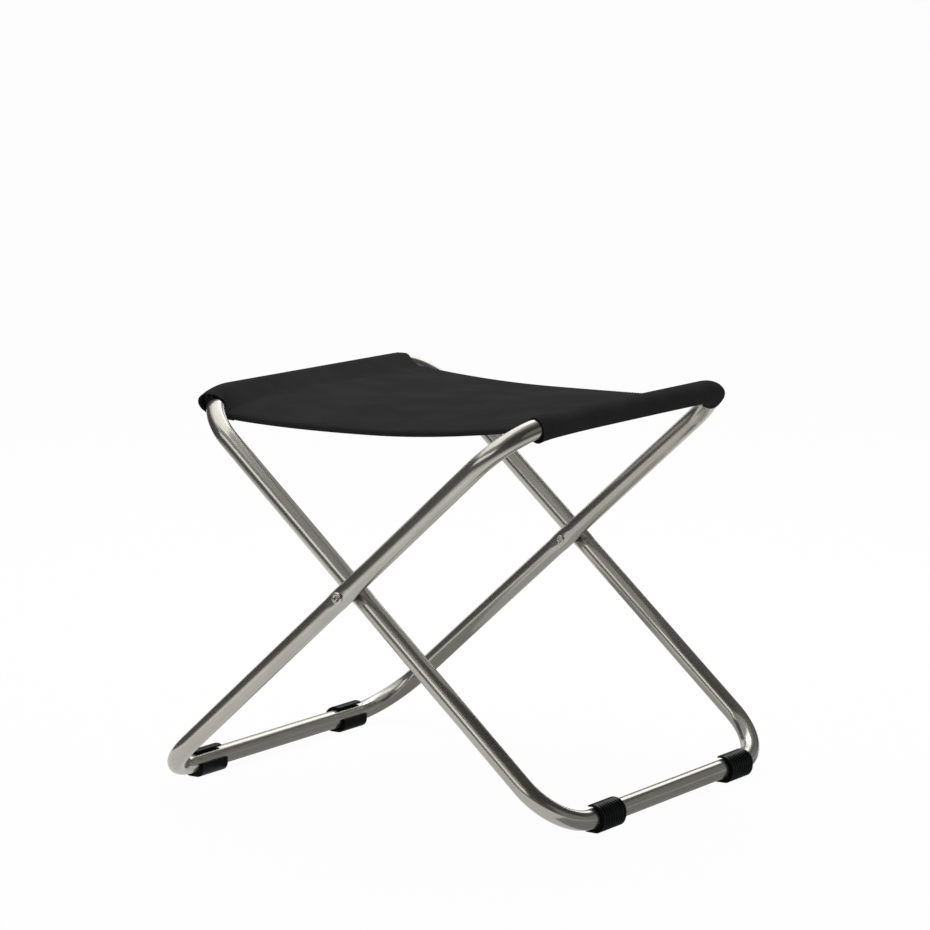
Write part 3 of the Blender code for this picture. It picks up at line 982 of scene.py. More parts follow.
@dataclass
class StitchRow:
    """Lock stitches lying on the cloth, each a short thread with its ends drawn down into the cloth."""

    cloth: float
    thread_d: float = 0.00055
    sides: int = 6
    stations: tuple[float, ...] = (0.0, 0.14, 0.5, 0.86, 1.0)    # its rings, as shares of its length
    taper: float = 0.96           # 1 would end it in a point
    rise: float = 0.60            # how far it stands up in its middle, in thread widths
    sunk: float = 0.35            # how far all of it is drawn down, in thread widths
    pitch: ClassVar[float] = 0.0036
    length: ClassVar[float] = 0.0029

    def build(self, name: str, start: np.ndarray, end: np.ndarray, start_up: np.ndarray,
              end_up: np.ndarray) -> bpy.types.Object:
        """Make stitches between pairs of points on the cloth's middle surface.

        Each is a tube of a few rings whose radius and height over the cloth fall off towards its ends as a
        circle does.

        Args:
            name: name of the piece.
            start: first point of each stitch.
            end: last point of each stitch.
            start_up: normal of the cloth at the first point.
            end_up: normal of the cloth at the last point.

        Returns:
            All the stitches as one piece.
        """
        share = np.array(self.stations)[None, :, None]
        fullness = np.sqrt(1.0 - (2.0 * share - 1.0) ** 2 * self.taper)
        up = (start_up + end_up)[:, None, :]
        up /= np.linalg.norm(up, axis=-1, keepdims=True)
        forward = (end - start)[:, None, :]
        forward /= np.linalg.norm(forward, axis=-1, keepdims=True)
        aside = np.cross(forward, up)
        centre = start[:, None, :] + share * (end - start)[:, None, :]
        centre = centre + (self.cloth / 2 + self.thread_d * (self.rise * fullness - self.sunk)) * up
        angle = (2.0 * math.pi * np.arange(self.sides) / self.sides)[None, None, :, None]
        ring = np.cos(angle) * aside[:, :, None, :] + np.sin(angle) * up[:, :, None, :]
        points = centre[:, :, None, :] + self.thread_d / 2 * fullness[..., None] * ring
        count, rings = len(start), share.shape[1]
        index = np.arange(rings * self.sides).reshape(rings, self.sides)
        after = np.roll(index, -1, axis=1)
        quads = np.stack((index[:-1], after[:-1], after[1:], index[1:]), axis=-1).reshape(-1, 4)
        first = (np.arange(count) * rings * self.sides)[:, None, None]
        sides = (quads[None] + first).reshape(-1, 4)
        caps = (np.stack((index[0][::-1], index[-1]))[None] + first).reshape(-1, self.sides)
        mesh = bpy.data.meshes.new(name)
        mesh.from_pydata(points.reshape(-1, 3).tolist(), [], sides.tolist() + caps.tolist())
        bm = bmesh.new()
        bm.from_mesh(mesh)
        bmesh.ops.recalc_face_normals(bm, faces=bm.faces)
        bm.to_mesh(mesh)
        bm.free()
        mesh.shade_smooth()
        return linked_object(name, mesh)


@dataclass(frozen=True)
class CoveredEnd:
    """How the cloth lies at the end of a sleeve that covers the start of a bend."""

    reach: float      # where the tube's axis leaves the sleeve, along the bar
    follows: float    # share of the bend's drop that the sleeve's top follows
    slack: float      # how far the sleeve hangs below the tube
    drop: float       # how far the seam's corner hangs


@dataclass
class SlingSeat:
    """The seat: one length of cloth sewn round both seat bars, with a hem at each of its free edges."""

    sizes: StoolSizes
    cloth: float = 0.0010
    half_width: float = 0.175
    hem_radius: float = 0.004
    hem_drop: float = 0.0045
    hem_width: float = 0.0115
    hem_room: float = 0.00115
    seam_inboard: float = 0.025
    seam_drop: float = 0.0022
    seam_flap: float = 0.010
    seam_tuck: float = 0.6        # how far the lower layer lies under the seam, in cloth thicknesses
    flap_tuck: float = 1.1        # how far the flap lies under the panel, in cloth thicknesses
    sleeve_room: float = 0.0004
    sleeve_slack: float = 0.0005
    bare_slack: float = 0.0022
    bare_follows: float = 1.0
    bare_end: float = 0.1775
    covered_a: CoveredEnd = CoveredEnd(reach=0.1730, follows=0.80, slack=0.0010, drop=0.0105)
    covered_b: CoveredEnd = CoveredEnd(reach=0.1718, follows=0.60, slack=0.0020, drop=0.0128)
    panel_sag: float = 0.006
    near_edge_sag: float = 0.0100
    far_edge_sag: float = 0.0050
    sag_shift: float = 0.20
    edge_run: float = 0.016
    end_power: int = 4            # the higher, the closer to a sleeve's end its shape changes
    hem_snug: float = 0.0001
    stitch_rows: tuple[float, float] = (0.0025, 0.0075)    # inboard of a seam
    stitch_margin: float = 0.004
    stitch_inset: float = 0.002
    section_steps: int = 360
    sleeve_rows: int = 64
    panel_rows: int = 84
    flap_rows: int = 5
    flat_columns: int = 56
    curl_columns: int = 10
    fold_steps: int = 4

    @property
    def turn_y(self) -> float:
        """Where the free edge starts to curl down."""
        return self.half_width - self.hem_radius

    @property
    def half_cloth(self) -> float:
        """Half of the hemmed cloth's width, measured along the cloth."""
        return self.turn_y + self.hem_radius * math.pi / 2 + self.hem_drop - self.hem_radius

    @property
    def seam_x(self) -> float:
        """Distance of the sleeves' seams from the middle."""
        return self.sizes.seat_bar_x - self.seam_inboard

    def columns(self) -> np.ndarray:
        """Places across the cloth, measured along it from its middle, closer together at the hems.

        Returns:
            One place for each column of the cloth.
        """
        hem_start = self.half_cloth - self.hem_width
        flat = np.linspace(-hem_start, hem_start, self.flat_columns + 1)
        edge = np.linspace(hem_start, self.half_cloth, self.curl_columns + 1)[1:]
        return np.concatenate((-edge[::-1], flat, edge))

    def sleeve_y(self, across: np.ndarray, covered_end: float) -> np.ndarray:
        """Where the cloth lies along loop A's bar: drawn in a little at the end that covers a bend."""
        drawn = np.where(across < 0.0, self.bare_end, covered_end) - self.half_cloth
        return across + np.sign(across) * drawn * (np.abs(across) / self.half_cloth) ** self.end_power

    def corner_share(self, side: np.ndarray, y: np.ndarray) -> np.ndarray:
        """How far a place is into a corner whose sleeve covers a bend: the cube of its share of the width."""
        return np.clip(np.sign(side) * y / self.half_width, 0.0, 1.0) ** 3

    def curl(self, across: np.ndarray) -> tuple[np.ndarray, np.ndarray]:
        """The free edge's profile: flat, then a quarter circle down, then straight down.

        Args:
            across: places across the cloth.

        Returns:
            Place along Y and drop below the flat cloth.
        """
        over = np.clip(np.abs(across) - self.turn_y, 0.0, None)
        angle = np.clip(over / self.hem_radius, 0.0, math.pi / 2)
        below = np.clip(over - self.hem_radius * math.pi / 2, 0.0, None)
        y = np.minimum(np.abs(across), self.turn_y) + self.hem_radius * np.sin(angle)
        return np.sign(across) * y, self.hem_radius * (1.0 - np.cos(angle)) + below

    def panel(self, share: np.ndarray, across: np.ndarray, below: float) -> np.ndarray:
        """The cloth between the seams: a shallow parabolic sag, lower corners and curled free edges.

        Args:
            share: place along X as a share of the seams' distance from the middle.
            across: places across the cloth.
            below: how far a layer lies under the panel.

        Returns:
            Grid of points in the frame.
        """
        share, across = np.meshgrid(share, across, indexing="ij")
        y, drop = self.curl(across)
        width = y / self.half_width
        edge_sag = np.where(width < 0.0, self.near_edge_sag, self.far_edge_sag)
        sag = (self.panel_sag + edge_sag * width ** 2) * (1.0 - share ** 2)
        sag = sag * (1.0 + self.sag_shift * share * np.minimum(width, 0.0) ** 3)
        corner = np.where(share > 0.0, self.covered_a.drop, self.covered_b.drop)
        corner = corner * self.corner_share(share, y) * share ** 2
        z = self.sizes.seat_bar_height - self.seam_drop + self.cloth / 2 - sag - corner - drop
        return np.stack((share * self.seam_x, y, z - below), axis=-1)

    def sleeve(self, across: np.ndarray, end: CoveredEnd) -> np.ndarray:
        """The cloth round loop A's bar, from the seam under the bar, round its outside and over it back.

        Each section is square to the tube's axis, so past the start of a bend it leans with the tube. Drawn
        on a plane across the bar it is the taut line round four shapes: a circle that follows part of the
        bend, the bent tube's own section (an ellipse), the same let down by the slack, and the seam.

        Args:
            across: places across the cloth.
            end: how the cloth lies at the end that covers a bend.

        Returns:
            Grid of points in the frame, row by row round the bar.
        """
        s = self.sizes
        y = self.sleeve_y(across, end.reach)
        edge_y, drop = self.curl(across)
        past_near, past_far = s.near_leg_y + s.bend_radius - y, y - s.far_leg_y + s.bend_radius
        tilt = np.arcsin(np.maximum(np.maximum(past_near, past_far), 0.0) / s.bend_radius)
        sunk = s.bend_radius * (np.cos(tilt) - 1.0)
        leg = np.array((math.sin(s.leg_angle), math.cos(s.leg_angle)))
        radius = np.full_like(y, s.tube_d / 2)
        upright = radius * np.cos(tilt)
        covered = across > 0.0
        share = np.where(covered, end.follows, self.bare_follows)
        follow = (share * (sunk + upright - radius))[:, None] * leg
        middle = sunk[:, None] * leg
        mouth = np.where(covered, end.slack, self.bare_slack)
        slack = self.sleeve_slack + mouth * (y / self.half_width) ** self.end_power
        dropped = middle - np.stack((0.0 * y, slack), axis=-1)
        seam_z = -self.seam_drop - end.drop * self.corner_share(np.ones_like(y), edge_y) - drop
        seam = np.stack((np.full_like(y, -self.seam_inboard), seam_z), axis=-1)
        tiny = np.full_like(y, 1e-6)
        line = self.even_steps(self.taut_line(
            np.stack((follow, middle, dropped, seam)), np.stack((radius, upright, upright, tiny)),
            np.stack((radius, radius, radius, tiny)), leg))
        x = s.seat_bar_x + line[..., 0]
        z = s.seat_bar_height + line[..., 1]
        round_bar = np.linspace(0.0, 1.0, self.sleeve_rows)
        from_seam = np.minimum(round_bar, 1.0 - round_bar)
        on_bar = smooth_step(from_seam * math.pi * s.tube_d / self.edge_run)[None, :]
        lean = (np.sign(across) * np.tan(tilt))[:, None] * (line @ leg - sunk[:, None])
        y = edge_y[:, None] + ((y - edge_y)[:, None] + lean) * on_bar
        return np.stack((x, y, z), axis=-1).transpose(1, 0, 2)

    def taut_line(self, centre: np.ndarray, half_along: np.ndarray, half_cross: np.ndarray,
                  leg: np.ndarray) -> np.ndarray:
        """In each section, the line drawn tight round some ellipses, the last of them the seam.

        The point of the line in a direction belongs to the ellipse that reaches furthest that way. It stands
        off by the cloth's own room, and at the seam by the layers that are sewn there.

        Args:
            centre: middles of the ellipses, ellipses by sections by 2.
            half_along: their half axes along the leg, ellipses by sections.
            half_cross: their half axes square to the leg.
            leg: direction of the leg on the plane of the sections.

        Returns:
            Points as (across the bar, up), sections by points by 2, from below the seam to above it.
        """
        cross = np.array((leg[1], -leg[0]))
        seam = centre[-1][:, None, :]
        centre, half_along, half_cross = centre[:, :, None, :], half_along[..., None], half_cross[..., None]
        angle = np.linspace(math.pi, 3.0 * math.pi, self.section_steps + 1)
        normal = np.stack((np.cos(angle), np.sin(angle)), axis=-1)
        to_leg, to_cross = normal @ leg, normal @ cross
        size = np.hypot(half_along * to_leg, half_cross * to_cross)
        furthest = np.argmax(np.sum(centre * normal, axis=-1) + size, axis=0)
        along_pull, cross_pull = half_along ** 2 * to_leg / size, half_cross ** 2 * to_cross / size
        pull = along_pull[..., None] * leg + cross_pull[..., None] * cross
        line = np.take_along_axis(centre + pull, furthest[None, :, :, None], axis=0)[0]
        line = line + (self.sizes.fit_gap + self.sleeve_room + self.hem_snug + self.cloth / 2) * normal
        under = seam - np.array((0.0, self.cloth * self.seam_tuck))
        upper = seam + np.array((0.0, self.cloth / 2))
        at_seam = np.where((angle < 2.0 * math.pi)[None, :, None], under, upper)
        return np.where((furthest == len(centre) - 1)[..., None], at_seam, line)

    def even_steps(self, line: np.ndarray) -> np.ndarray:
        """Read each section again at equal steps along its own length.

        Args:
            line: sections by points by 2.

        Returns:
            The same sections with one point for each of the sleeve's rows.
        """
        share = np.linspace(0.0, 1.0, self.sleeve_rows)
        sections = []
        for section in line:
            length = run_length(section)
            sections.append([np.interp(share * length[-1], length, section[:, axis]) for axis in (0, 1)])
        return np.array(sections).transpose(0, 2, 1)

    def surface(self) -> np.ndarray:
        """The whole cloth's middle surface: flap, sleeve A, panel, sleeve B, flap.

        Returns:
            Grid of points, rows along the cloth's length and columns across it.
        """
        across = self.columns()
        flap_share = 1.0 - np.linspace(self.seam_flap / self.seam_x, 0.0, self.flap_rows + 1)[:-1]
        below = self.cloth * self.flap_tuck
        flap_a, flap_b = (self.panel(side * flap_share, across, below) for side in (1.0, -1.0))
        panel = self.panel(np.linspace(1.0, -1.0, self.panel_rows + 1)[1:-1], across, 0.0)
        sleeve_a = self.sleeve(across, self.covered_a)
        sleeve_b = half_turn(Loop.B, self.sleeve(across, self.covered_b))[:, ::-1]
        return np.concatenate((flap_a, sleeve_a, panel, sleeve_b[::-1], flap_b[::-1]))

    @staticmethod
    def normals(grid: np.ndarray) -> np.ndarray:
        """Unit normals of a grid of points, upwards in its middle: the cross product of its two tangents.

        Args:
            grid: rows by columns by 3.

        Returns:
            Normals on the same grid.
        """
        normal = np.cross(np.gradient(grid, axis=1), np.gradient(grid, axis=0))
        normal /= np.linalg.norm(normal, axis=-1, keepdims=True)
        middle = normal[normal.shape[0] // 2, normal.shape[1] // 2]
        return normal * np.sign(middle @ UP)

    def hem_rooms(self) -> np.ndarray:
        """Room for the turned-under layer: about a cloth's thickness on the panel, next to none on the bars.

        Returns:
            Room at each row of the cloth.
        """
        bar = np.zeros(self.flap_rows + self.sleeve_rows)
        share = np.linspace(0.0, 1.0, self.panel_rows + 1)[1:-1]
        free = smooth_step(np.minimum(share, 1.0 - share) * 2.0 * self.seam_x / self.edge_run)
        return self.hem_snug + (self.hem_room - self.hem_snug) * np.concatenate((bar, free, bar))

    def hem(self, grid: np.ndarray, normal: np.ndarray) -> np.ndarray:
        """The turned-under layer at the last column: half a circle round the edge, then back under the cloth.

        Args:
            grid: the cloth's points, with the hem's edge as the last column.
            normal: unit normals on the same grid.

        Returns:
            Further columns of points.
        """
        room = self.hem_rooms()[:, None, None]
        fold = room / 2
        out = grid[:, -1] - grid[:, -2]
        out /= np.linalg.norm(out, axis=-1, keepdims=True)
        angle = np.linspace(0.0, math.pi, self.fold_steps + 2)[1:-1][None, :, None]
        edge, lift = grid[:, -1][:, None, :], normal[:, -1][:, None, :]
        turn = edge + fold * (np.sin(angle) * out[:, None, :] - (1.0 - np.cos(angle)) * lift)
        back = (grid - room * normal)[:, ::-1][:, :self.curl_columns]
        return np.concatenate((turn, back), axis=1)

    def build(self, material: bpy.types.Material, backing: bpy.types.Material,
              thread: bpy.types.Material) -> list[bpy.types.Object]:
        """Make the cloth with its hems, and the stitching.

        Args:
            material: finish of the cloth's outer face.
            backing: finish of its coated inner face.
            thread: finish of the stitches.

        Returns:
            The cloth and its rows of stitches.
        """
        grid = self.surface()
        normal = self.normals(grid)
        far_hem = self.hem(grid, normal)
        near_hem = self.hem(grid[:, ::-1], normal[:, ::-1])[:, ::-1]
        points = np.concatenate((near_hem, grid, far_hem), axis=1)
        along = run_length(points[:, points.shape[1] // 2])
        across = run_length(points[points.shape[0] // 2])
        uv = np.stack(np.meshgrid(along, across, indexing="ij"), axis=-1)
        cloth = surface_piece("sewn_seat_cloth", points, uv, closed=False, sharp=math.radians(180.0))
        wall = cloth.modifiers.new("cloth_thickness", "SOLIDIFY")
        wall.thickness = self.cloth
        wall.offset = 0.0
        wall.material_offset = 1
        dress(cloth, material)
        cloth.data.materials.append(backing)
        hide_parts("sleeve_a", "sleeve_b", "seat_panel")
        seams = self.seam_stitches(grid, normal)
        hems = self.hem_stitches(grid, normal, along)
        for piece in (seams, hems):
            dress(piece, thread)
        for piece in (cloth, seams, hems):
            self.follow_fold(piece)
        return [cloth, seams, hems]

    def follow_fold(self, piece: bpy.types.Object) -> None:
        """Bake a piece of the seat's placing into its mesh; it is not tied to either loop and does not fold.

        Args:
            piece: the cloth or a row of stitches on it.
        """
        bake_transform(piece)

    @staticmethod
    def read(grid: np.ndarray, row: np.ndarray, column: np.ndarray) -> np.ndarray:
        """Read a grid between its points, weighting the four neighbours by nearness (bilinear).

        Args:
            grid: rows by columns by 3.
            row: row numbers with fractions.
            column: column numbers with fractions.

        Returns:
            One point for each pair of numbers.
        """
        low_row = np.clip(row.astype(int), 0, grid.shape[0] - 2)
        low_column = np.clip(column.astype(int), 0, grid.shape[1] - 2)
        r, c = (row - low_row)[:, None], (column - low_column)[:, None]
        first = grid[low_row, low_column] * (1.0 - c) + grid[low_row, low_column + 1] * c
        second = grid[low_row + 1, low_column] * (1.0 - c) + grid[low_row + 1, low_column + 1] * c
        return first * (1.0 - r) + second * r

    def seam_stitches(self, grid: np.ndarray, normal: np.ndarray) -> bpy.types.Object:
        """Two rows of stitches along each seam, through the panel and the flap under it.

        Args:
            grid: the cloth's points.
            normal: unit normals on the same grid.

        Returns:
            The stitches as one piece.
        """
        across = self.columns()
        end = self.half_cloth - self.stitch_margin
        place = np.arange(-end, end, StitchRow.pitch)
        ends = np.stack((place, place + StitchRow.length), axis=-1)
        column = np.interp(ends, across, np.arange(len(across)))
        seam_row = self.flap_rows + self.sleeve_rows - 1
        inboard = np.array(self.stitch_rows) * self.panel_rows / (2.0 * self.seam_x)
        row = np.stack((seam_row + inboard, len(grid) - 1 - seam_row - inboard), axis=-1).ravel()
        rows = np.repeat(row, len(place))[:, None] + np.zeros(2)
        return self.sew("seam_stitches", grid, normal, rows, np.tile(column, (len(row), 1)))

    def hem_stitches(self, grid: np.ndarray, normal: np.ndarray, along: np.ndarray) -> bpy.types.Object:
        """One row of stitches along each hem, right round both sleeves.

        Args:
            grid: the cloth's points.
            normal: unit normals on the same grid.
            along: length along the cloth at each row.

        Returns:
            The stitches as one piece.
        """
        across = self.columns()
        place = np.arange(self.seam_flap + self.stitch_inset, along[-1] - self.seam_flap - self.stitch_margin,
                          StitchRow.pitch)
        ends = np.stack((place, place + StitchRow.length), axis=-1)
        row = np.interp(ends, along, np.arange(len(along)))
        from_middle = self.half_cloth - self.hem_width + self.stitch_inset
        column = np.interp((-from_middle, from_middle), across, np.arange(len(across)))
        columns = np.repeat(column, len(place))[:, None] + np.zeros(2)
        return self.sew("hem_stitches", grid, normal, np.tile(row, (len(column), 1)), columns)

    def sew(self, name: str, grid: np.ndarray, normal: np.ndarray, rows: np.ndarray,
            columns: np.ndarray) -> bpy.types.Object:
        """Make stitches between places on the cloth.

        Args:
            name: name of the piece.
            grid: the cloth's points.
            normal: unit normals on the same grid.
            rows: row numbers with fractions, of both ends of each stitch.
            columns: column numbers in the same way.

        Returns:
            The stitches as one piece.
        """
        ends = [self.read(field, rows[:, end], columns[:, end]) for field in (grid, normal) for end in (0, 1)]
        return StitchRow(self.cloth).build(name, *ends)


@dataclass(frozen=True)
class WallPanel:
    """An upright panel on the round wall of the set, for the steel to mirror."""

    name: str
    directions: tuple[float, float]    # of its two ends, in degrees from +X
    elevations: tuple[float, float]    # of its two edges, in degrees as seen from the floor's middle
    strength: float                    # how bright it is, where 1 is white
    radius: float = 5.0
    steps: int = 48

    def points(self) -> np.ndarray:
        """Draw it as two arcs about Z, one at the height of each edge.

        Returns:
            Grid of points.
        """
        angle = np.radians(np.linspace(*self.directions, self.steps + 1))[:, None]
        height = np.tan(np.radians(self.elevations))[None, :]
        x, y, z = np.broadcast_arrays(np.cos(angle), np.sin(angle), height)
        return self.radius * np.stack((x, y, z), axis=-1)


@dataclass(frozen=True)
class LevelPanel:
    """A level rectangle over the set or close to its floor, for the steel to mirror."""

    name: str
    across: tuple[float, float]        # its ends along X
    along: tuple[float, float]         # its ends along Y
    height: float
    strength: float                    # how bright it is, where 1 is white

    def points(self) -> np.ndarray:
        """Grid of its four corners."""
        return level_rectangle(self.across, self.along, self.height)


@dataclass
class Studio:
    """The plain set: pale floor, white surround, soft light from above, the camera of the photograph.

    What the steel mirrors is a dim room in front with a light strip in it, a bright wall behind, canopies
    overhead, a painted glow under the seat, painted shadows on the floor close to the stool and a painted
    pool of light round it.
    """

    floor_half: float = 30.0
    floor_seen: float = 0.97           # how bright the floor looks to the camera, where 1 is white
    floor_mirrored: float = 0.85       # the same in the steel
    ambient: float = 0.42
    soft_box_place: tuple[float, float, float] = (-0.5, 0.8, 2.4)
    soft_box_aim: tuple[float, float, float] = (0.0, 0.0, 0.3)
    soft_box_size: float = 2.0
    soft_box_power: float = 49.0
    panels: tuple[WallPanel | LevelPanel, ...] = (
        WallPanel("dim_room", (160.0, 350.0), (0.0, 33.0), 0.06),
        WallPanel("grey_side", (-10.0, 78.0), (0.0, 34.0), 0.30),
        WallPanel("light_strip", (235.0, 290.0), (10.0, 26.0), 1.7, radius=4.85),
        WallPanel("bright_back", (93.0, 118.0), (18.0, 40.0), 2.5),
        WallPanel("dark_back", (78.0, 93.0), (0.0, 42.0), 0.06),
        WallPanel("dark_skirting", (93.0, 135.0), (0.0, 18.0), 0.06),
        LevelPanel("grey_canopy", (0.10, 0.43), (-1.6, 0.40), 1.2, 0.33),
        LevelPanel("grey_canopy_front", (-0.6, 0.10), (-1.6, -0.9), 1.2, 0.33),
        LevelPanel("light_canopy", (-0.9, 0.10), (-0.9, 0.40), 1.2, 1.7),
        LevelPanel("dark_canopy_behind", (0.0, 0.43), (0.40, 1.85), 1.2, 0.04),
        LevelPanel("dark_canopy", (0.43, 1.9), (-1.6, 1.85), 1.2, 0.04),
        # painted shadows: dim sheets on the floor where the bars shade it, seen only in the steel
        LevelPanel("shade_behind_bar_a", (-0.24, -0.10), (-0.12, 0.35), 0.002, 0.33),
        LevelPanel("shade_behind_bar_b", (0.24, 0.65), (-0.20, 0.90), 0.002, 0.30),
        # painted reflection: a glowing sheet just under the seat that lightens the seat's underside as the
        # legs mirror it
        LevelPanel("painted_glow_under_seat", (-0.19, 0.215), (-0.165, 0.17), 0.378, 0.45),
        # painted shadow of the seat on the floor, seen only in the steel
        LevelPanel("shade_under_seat", (-0.10, 0.20), (0.04, 0.50), 0.002, 0.58),
    )
    # the dim floor carries a painted pool of light: brighter than white by the stool, fading to the room's
    # dimness, seen only in the steel
    dim_floor_directions: tuple[float, float] = (165.0, 445.0)
    dim_floor_radius: tuple[float, float] = (0.45, 5.0)
    dim_floor_height: float = 0.003
    dim_floor_strength: tuple[float, float] = (1.15, 0.06)    # by the stool, and past the fade
    dim_floor_fade_end: float = 1.35
    dim_floor_steps: int = 96
    camera_place: tuple[float, float, float] = (2.137078, -3.178023, 0.912084)
    camera_yaw: float = math.radians(33.929)
    camera_pitch: float = math.radians(8.633)
    camera_roll: float = math.radians(-0.148)
    focal_pixels: float = 3732.149

    def build_camera(self) -> bpy.types.Object:
        """Put the camera where the photograph was taken from, looking down on the stool's near corner.

        Returns:
            The camera.
        """
        yaw, pitch, roll = self.camera_yaw, self.camera_pitch, self.camera_roll
        level = math.cos(pitch)
        look = Vector((-math.sin(yaw) * level, math.cos(yaw) * level, -math.sin(pitch)))
        right = look.cross(Vector(UP)).normalized()
        up = right.cross(look)
        rolled = math.cos(roll) * right + math.sin(roll) * up
        up = math.cos(roll) * up - math.sin(roll) * right
        data = bpy.data.cameras.new("photo_camera")
        data.sensor_fit = "HORIZONTAL"
        data.sensor_width = 36.0
        data.lens = self.focal_pixels / PHOTO_PIXELS * data.sensor_width
        camera = linked_object("photo_camera", data)
        turn = Matrix((rolled, up, -look)).transposed().to_4x4()
        camera.matrix_world = Matrix.Translation(self.camera_place) @ turn
        bpy.context.scene.camera = camera
        return camera

    def build_world(self) -> None:
        """Make the surround: white to the camera and in reflections, a softer light on the object."""
        world = bpy.data.worlds.new("white_surround")
        bpy.context.scene.world = world
        world.use_nodes = True
        tree = world.node_tree
        tree.nodes.clear()
        path = add_node(tree, "ShaderNodeLightPath", {}).outputs
        seen = add_node(tree, "ShaderNodeMath", {
            0: path["Is Camera Ray"], 1: path["Is Glossy Ray"]}, operation="MAXIMUM").outputs[0]
        seen = add_node(tree, "ShaderNodeMath", {
            0: seen, 1: path["Is Transmission Ray"]}, operation="MAXIMUM").outputs[0]
        ambient = add_node(tree, "ShaderNodeBackground", {
            "Color": linear("#ffffff"), "Strength": self.ambient})
        white = add_node(tree, "ShaderNodeBackground", {"Color": linear("#ffffff"), "Strength": 1.0})
        mix = add_node(tree, "ShaderNodeMixShader", {0: seen, 1: ambient.outputs[0], 2: white.outputs[0]})
        add_node(tree, "ShaderNodeOutputWorld", {"Surface": mix.outputs[0]})

    def build_floor(self) -> bpy.types.Object:
        """Lay the floor: pale paper that looks nearly white to the camera and keeps a faint shadow.

        Returns:
            The floor.
        """
        edges = (-self.floor_half, self.floor_half)
        floor = surface_piece("studio_floor", level_rectangle(edges, edges, 0.0), closed=False)
        material, tree = empty_material("matt_paper_floor")
        path = add_node(tree, "ShaderNodeLightPath", {}).outputs
        seen = add_node(tree, "ShaderNodeMath", {
            0: path["Is Camera Ray"], 1: path["Is Transmission Ray"]}, operation="MAXIMUM").outputs[0]
        share = add_node(tree, "ShaderNodeMath", {
            0: seen, 1: self.floor_seen}, operation="MULTIPLY").outputs[0]
        share = add_node(tree, "ShaderNodeMath", {
            0: path["Is Glossy Ray"], 1: self.floor_mirrored, 2: share},
            operation="MULTIPLY_ADD").outputs[0]
        paper = add_node(tree, "ShaderNodeBsdfDiffuse", {"Color": linear("#e6e6e6")})
        glow = add_node(tree, "ShaderNodeEmission", {"Color": linear("#ffffff"), "Strength": 1.0})
        mix = add_node(tree, "ShaderNodeMixShader", {0: share, 1: paper.outputs[0], 2: glow.outputs[0]})
        add_node(tree, "ShaderNodeOutputMaterial", {"Surface": mix.outputs[0]})
        dress(floor, material)
        return floor

    def build_soft_box(self) -> bpy.types.Object:
        """Hang one square soft box over the stool.

        Returns:
            The light.
        """
        data = bpy.data.lights.new("overhead_soft_box", "AREA")
        data.shape = "SQUARE"
        data.size = self.soft_box_size
        data.energy = self.soft_box_power
        light = linked_object("overhead_soft_box", data)
        light.location = self.soft_box_place
        facing = Vector(self.soft_box_aim) - Vector(self.soft_box_place)
        light.rotation_euler = facing.to_track_quat("-Z", "Y").to_euler()
        return light

    def build_reflector(self, name: str, points: np.ndarray, strength: float) -> bpy.types.Object:
        """Put up a cloth, a light panel, a painted glow or a painted shadow that only shows as a reflection
        in the steel.

        Args:
            name: name of the reflector.
            points: its surface as a grid.
            strength: how bright it is, where 1 is white.

        Returns:
            The reflector.
        """
        material, tree = empty_material(f"{name}_cloth")
        glow = add_node(tree, "ShaderNodeEmission", {"Color": linear("#ffffff"), "Strength": strength})
        add_node(tree, "ShaderNodeOutputMaterial", {"Surface": glow.outputs[0]})
        reflector = surface_piece(name, points, closed=False)
        dress(reflector, material)
        reflector.visible_camera = False
        reflector.visible_diffuse = False
        reflector.visible_transmission = False
        reflector.visible_shadow = False
        return reflector

    def build_reflectors(self) -> None:
        """Put up the panels and the dim floor."""
        for panel in self.panels:
            self.build_reflector(panel.name, panel.points(), panel.strength)
        floor = self.build_reflector("dim_floor", self.dim_floor(), self.dim_floor_strength[1])
        self.fade_floor(floor.data.materials[0].node_tree)

    def dim_floor(self) -> np.ndarray:
        """The dim room's floor: a ring from the edge of the white sheet under the stool to the wall.

        Returns:
            Grid of points.
        """
        angle = np.radians(np.linspace(*self.dim_floor_directions, self.dim_floor_steps + 1))[:, None]
        radius = np.array(self.dim_floor_radius)[None, :]
        x, y = radius * np.cos(angle), radius * np.sin(angle)
        return np.stack((x, y, np.full_like(x, self.dim_floor_height)), axis=-1)

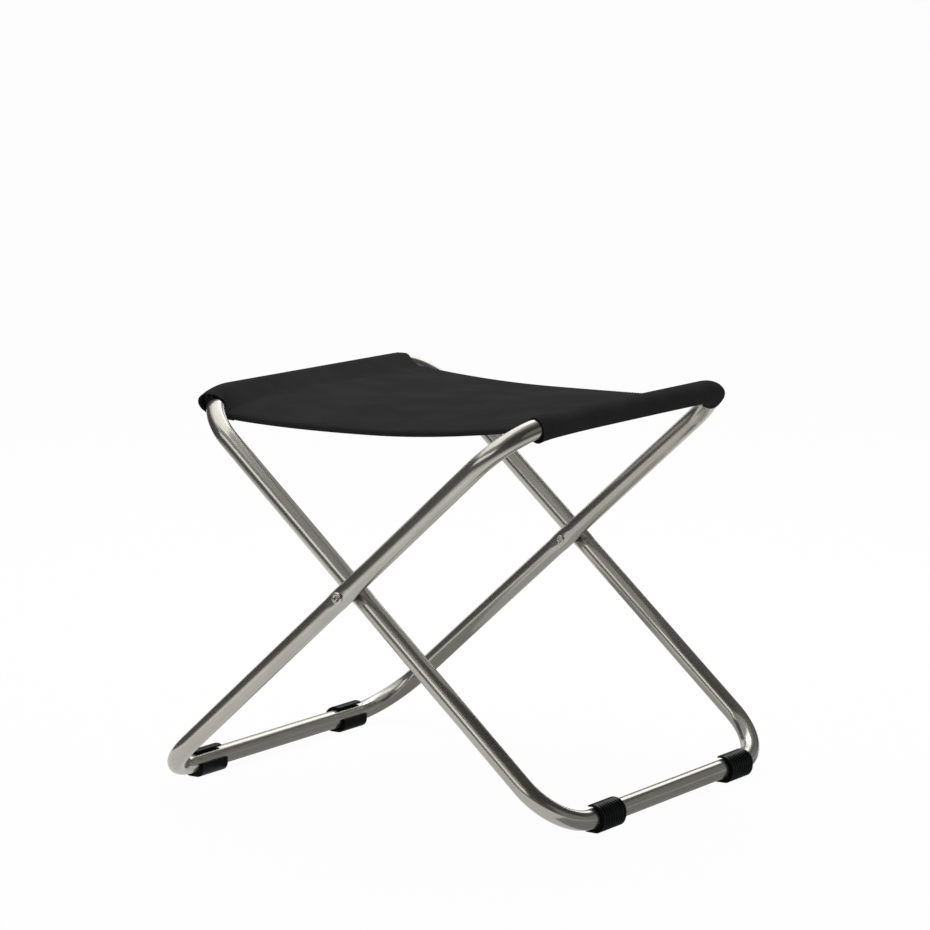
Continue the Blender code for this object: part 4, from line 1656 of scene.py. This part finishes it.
    def fade_floor(self, tree: bpy.types.NodeTree) -> None:
        """Let the dim floor fade from the white sheet to the room's dimness with distance from the middle: a
        painted pool of light round the stool.

        Args:
            tree: node tree of the dim floor's material.
        """
        place = add_node(tree, "ShaderNodeTexCoord", {}).outputs["Object"]
        far = add_node(tree, "ShaderNodeVectorMath", {0: place}, operation="LENGTH").outputs["Value"]
        fade = add_node(tree, "ShaderNodeMapRange", {
            "Value": far, "From Min": self.dim_floor_radius[0], "From Max": self.dim_floor_fade_end,
            "To Min": self.dim_floor_strength[0], "To Max": self.dim_floor_strength[1]},
            interpolation_type="SMOOTHSTEP").outputs["Result"]
        tree.links.new(fade, tree.nodes["Emission"].inputs["Strength"])

    def build(self) -> None:
        """Set up the camera, the surround, the floor, the reflectors and the light."""
        bpy.context.scene.view_settings.view_transform = "Standard"
        self.build_camera()
        self.build_world()
        self.build_floor()
        self.build_reflectors()
        self.build_soft_box()


def main() -> None:
    """Load the frame, build each sub-assembly on it and report the pieces."""
    logging.basicConfig(level=logging.INFO, format="%(message)s")
    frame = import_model()
    sizes = StoolSizes()
    pivot = frame["joints"][0]["pos_m"]
    LOG.info("pivot height %.4f, in the frame %.4f", sizes.pivot_height, pivot[2])
    Studio().build()

    tube_steel = SatinStainless().material(PatternSpace.SURFACE)
    spigot_steel = SatinStainless().material(PatternSpace.OBJECT)
    rivet_steel = RivetSteel().material()
    rubber = MouldedBlack("moulded_black_rubber", deep="#070b0b", scuffed="#101414", roughness=0.34,
                          roughness_spread=0.06, specular=0.06).material()
    nylon = MouldedBlack("moulded_black_nylon", deep="#141414", scuffed="#222222", roughness=0.42,
                         roughness_spread=0.08, specular=0.35).material()
    canvas = WovenPolyester().material()
    # the backing's valley tone is painted shade in the weave's hollows too
    backing = WovenPolyester("coated_canvas_backing", crown="#8c8c8a", valley="#7c7c7a", faded="#949492",
                             weave_depth=0.00006).material()
    thread = SewingThread().material()

    pieces = []
    for loop in Loop:
        pieces.append(TubeLoop(sizes, loop).build(tube_steel))
        dress(frame["nodes"][f"{loop.body}_spigot"], spigot_steel)
        pivot_joint = PivotJoint(sizes, loop)
        pieces.append(pivot_joint.build_rivet(rivet_steel))
        pieces.append(pivot_joint.build_spacer(nylon))
        pieces += [ClipFoot(sizes, loop, near_leg).build(rubber) for near_leg in (True, False)]
    pieces += SlingSeat(sizes).build(canvas, backing, thread)
    for piece in pieces:
        LOG.info("%s: %d faces", piece.name, len(piece.data.polygons))


if __name__ == "__main__":
    main()
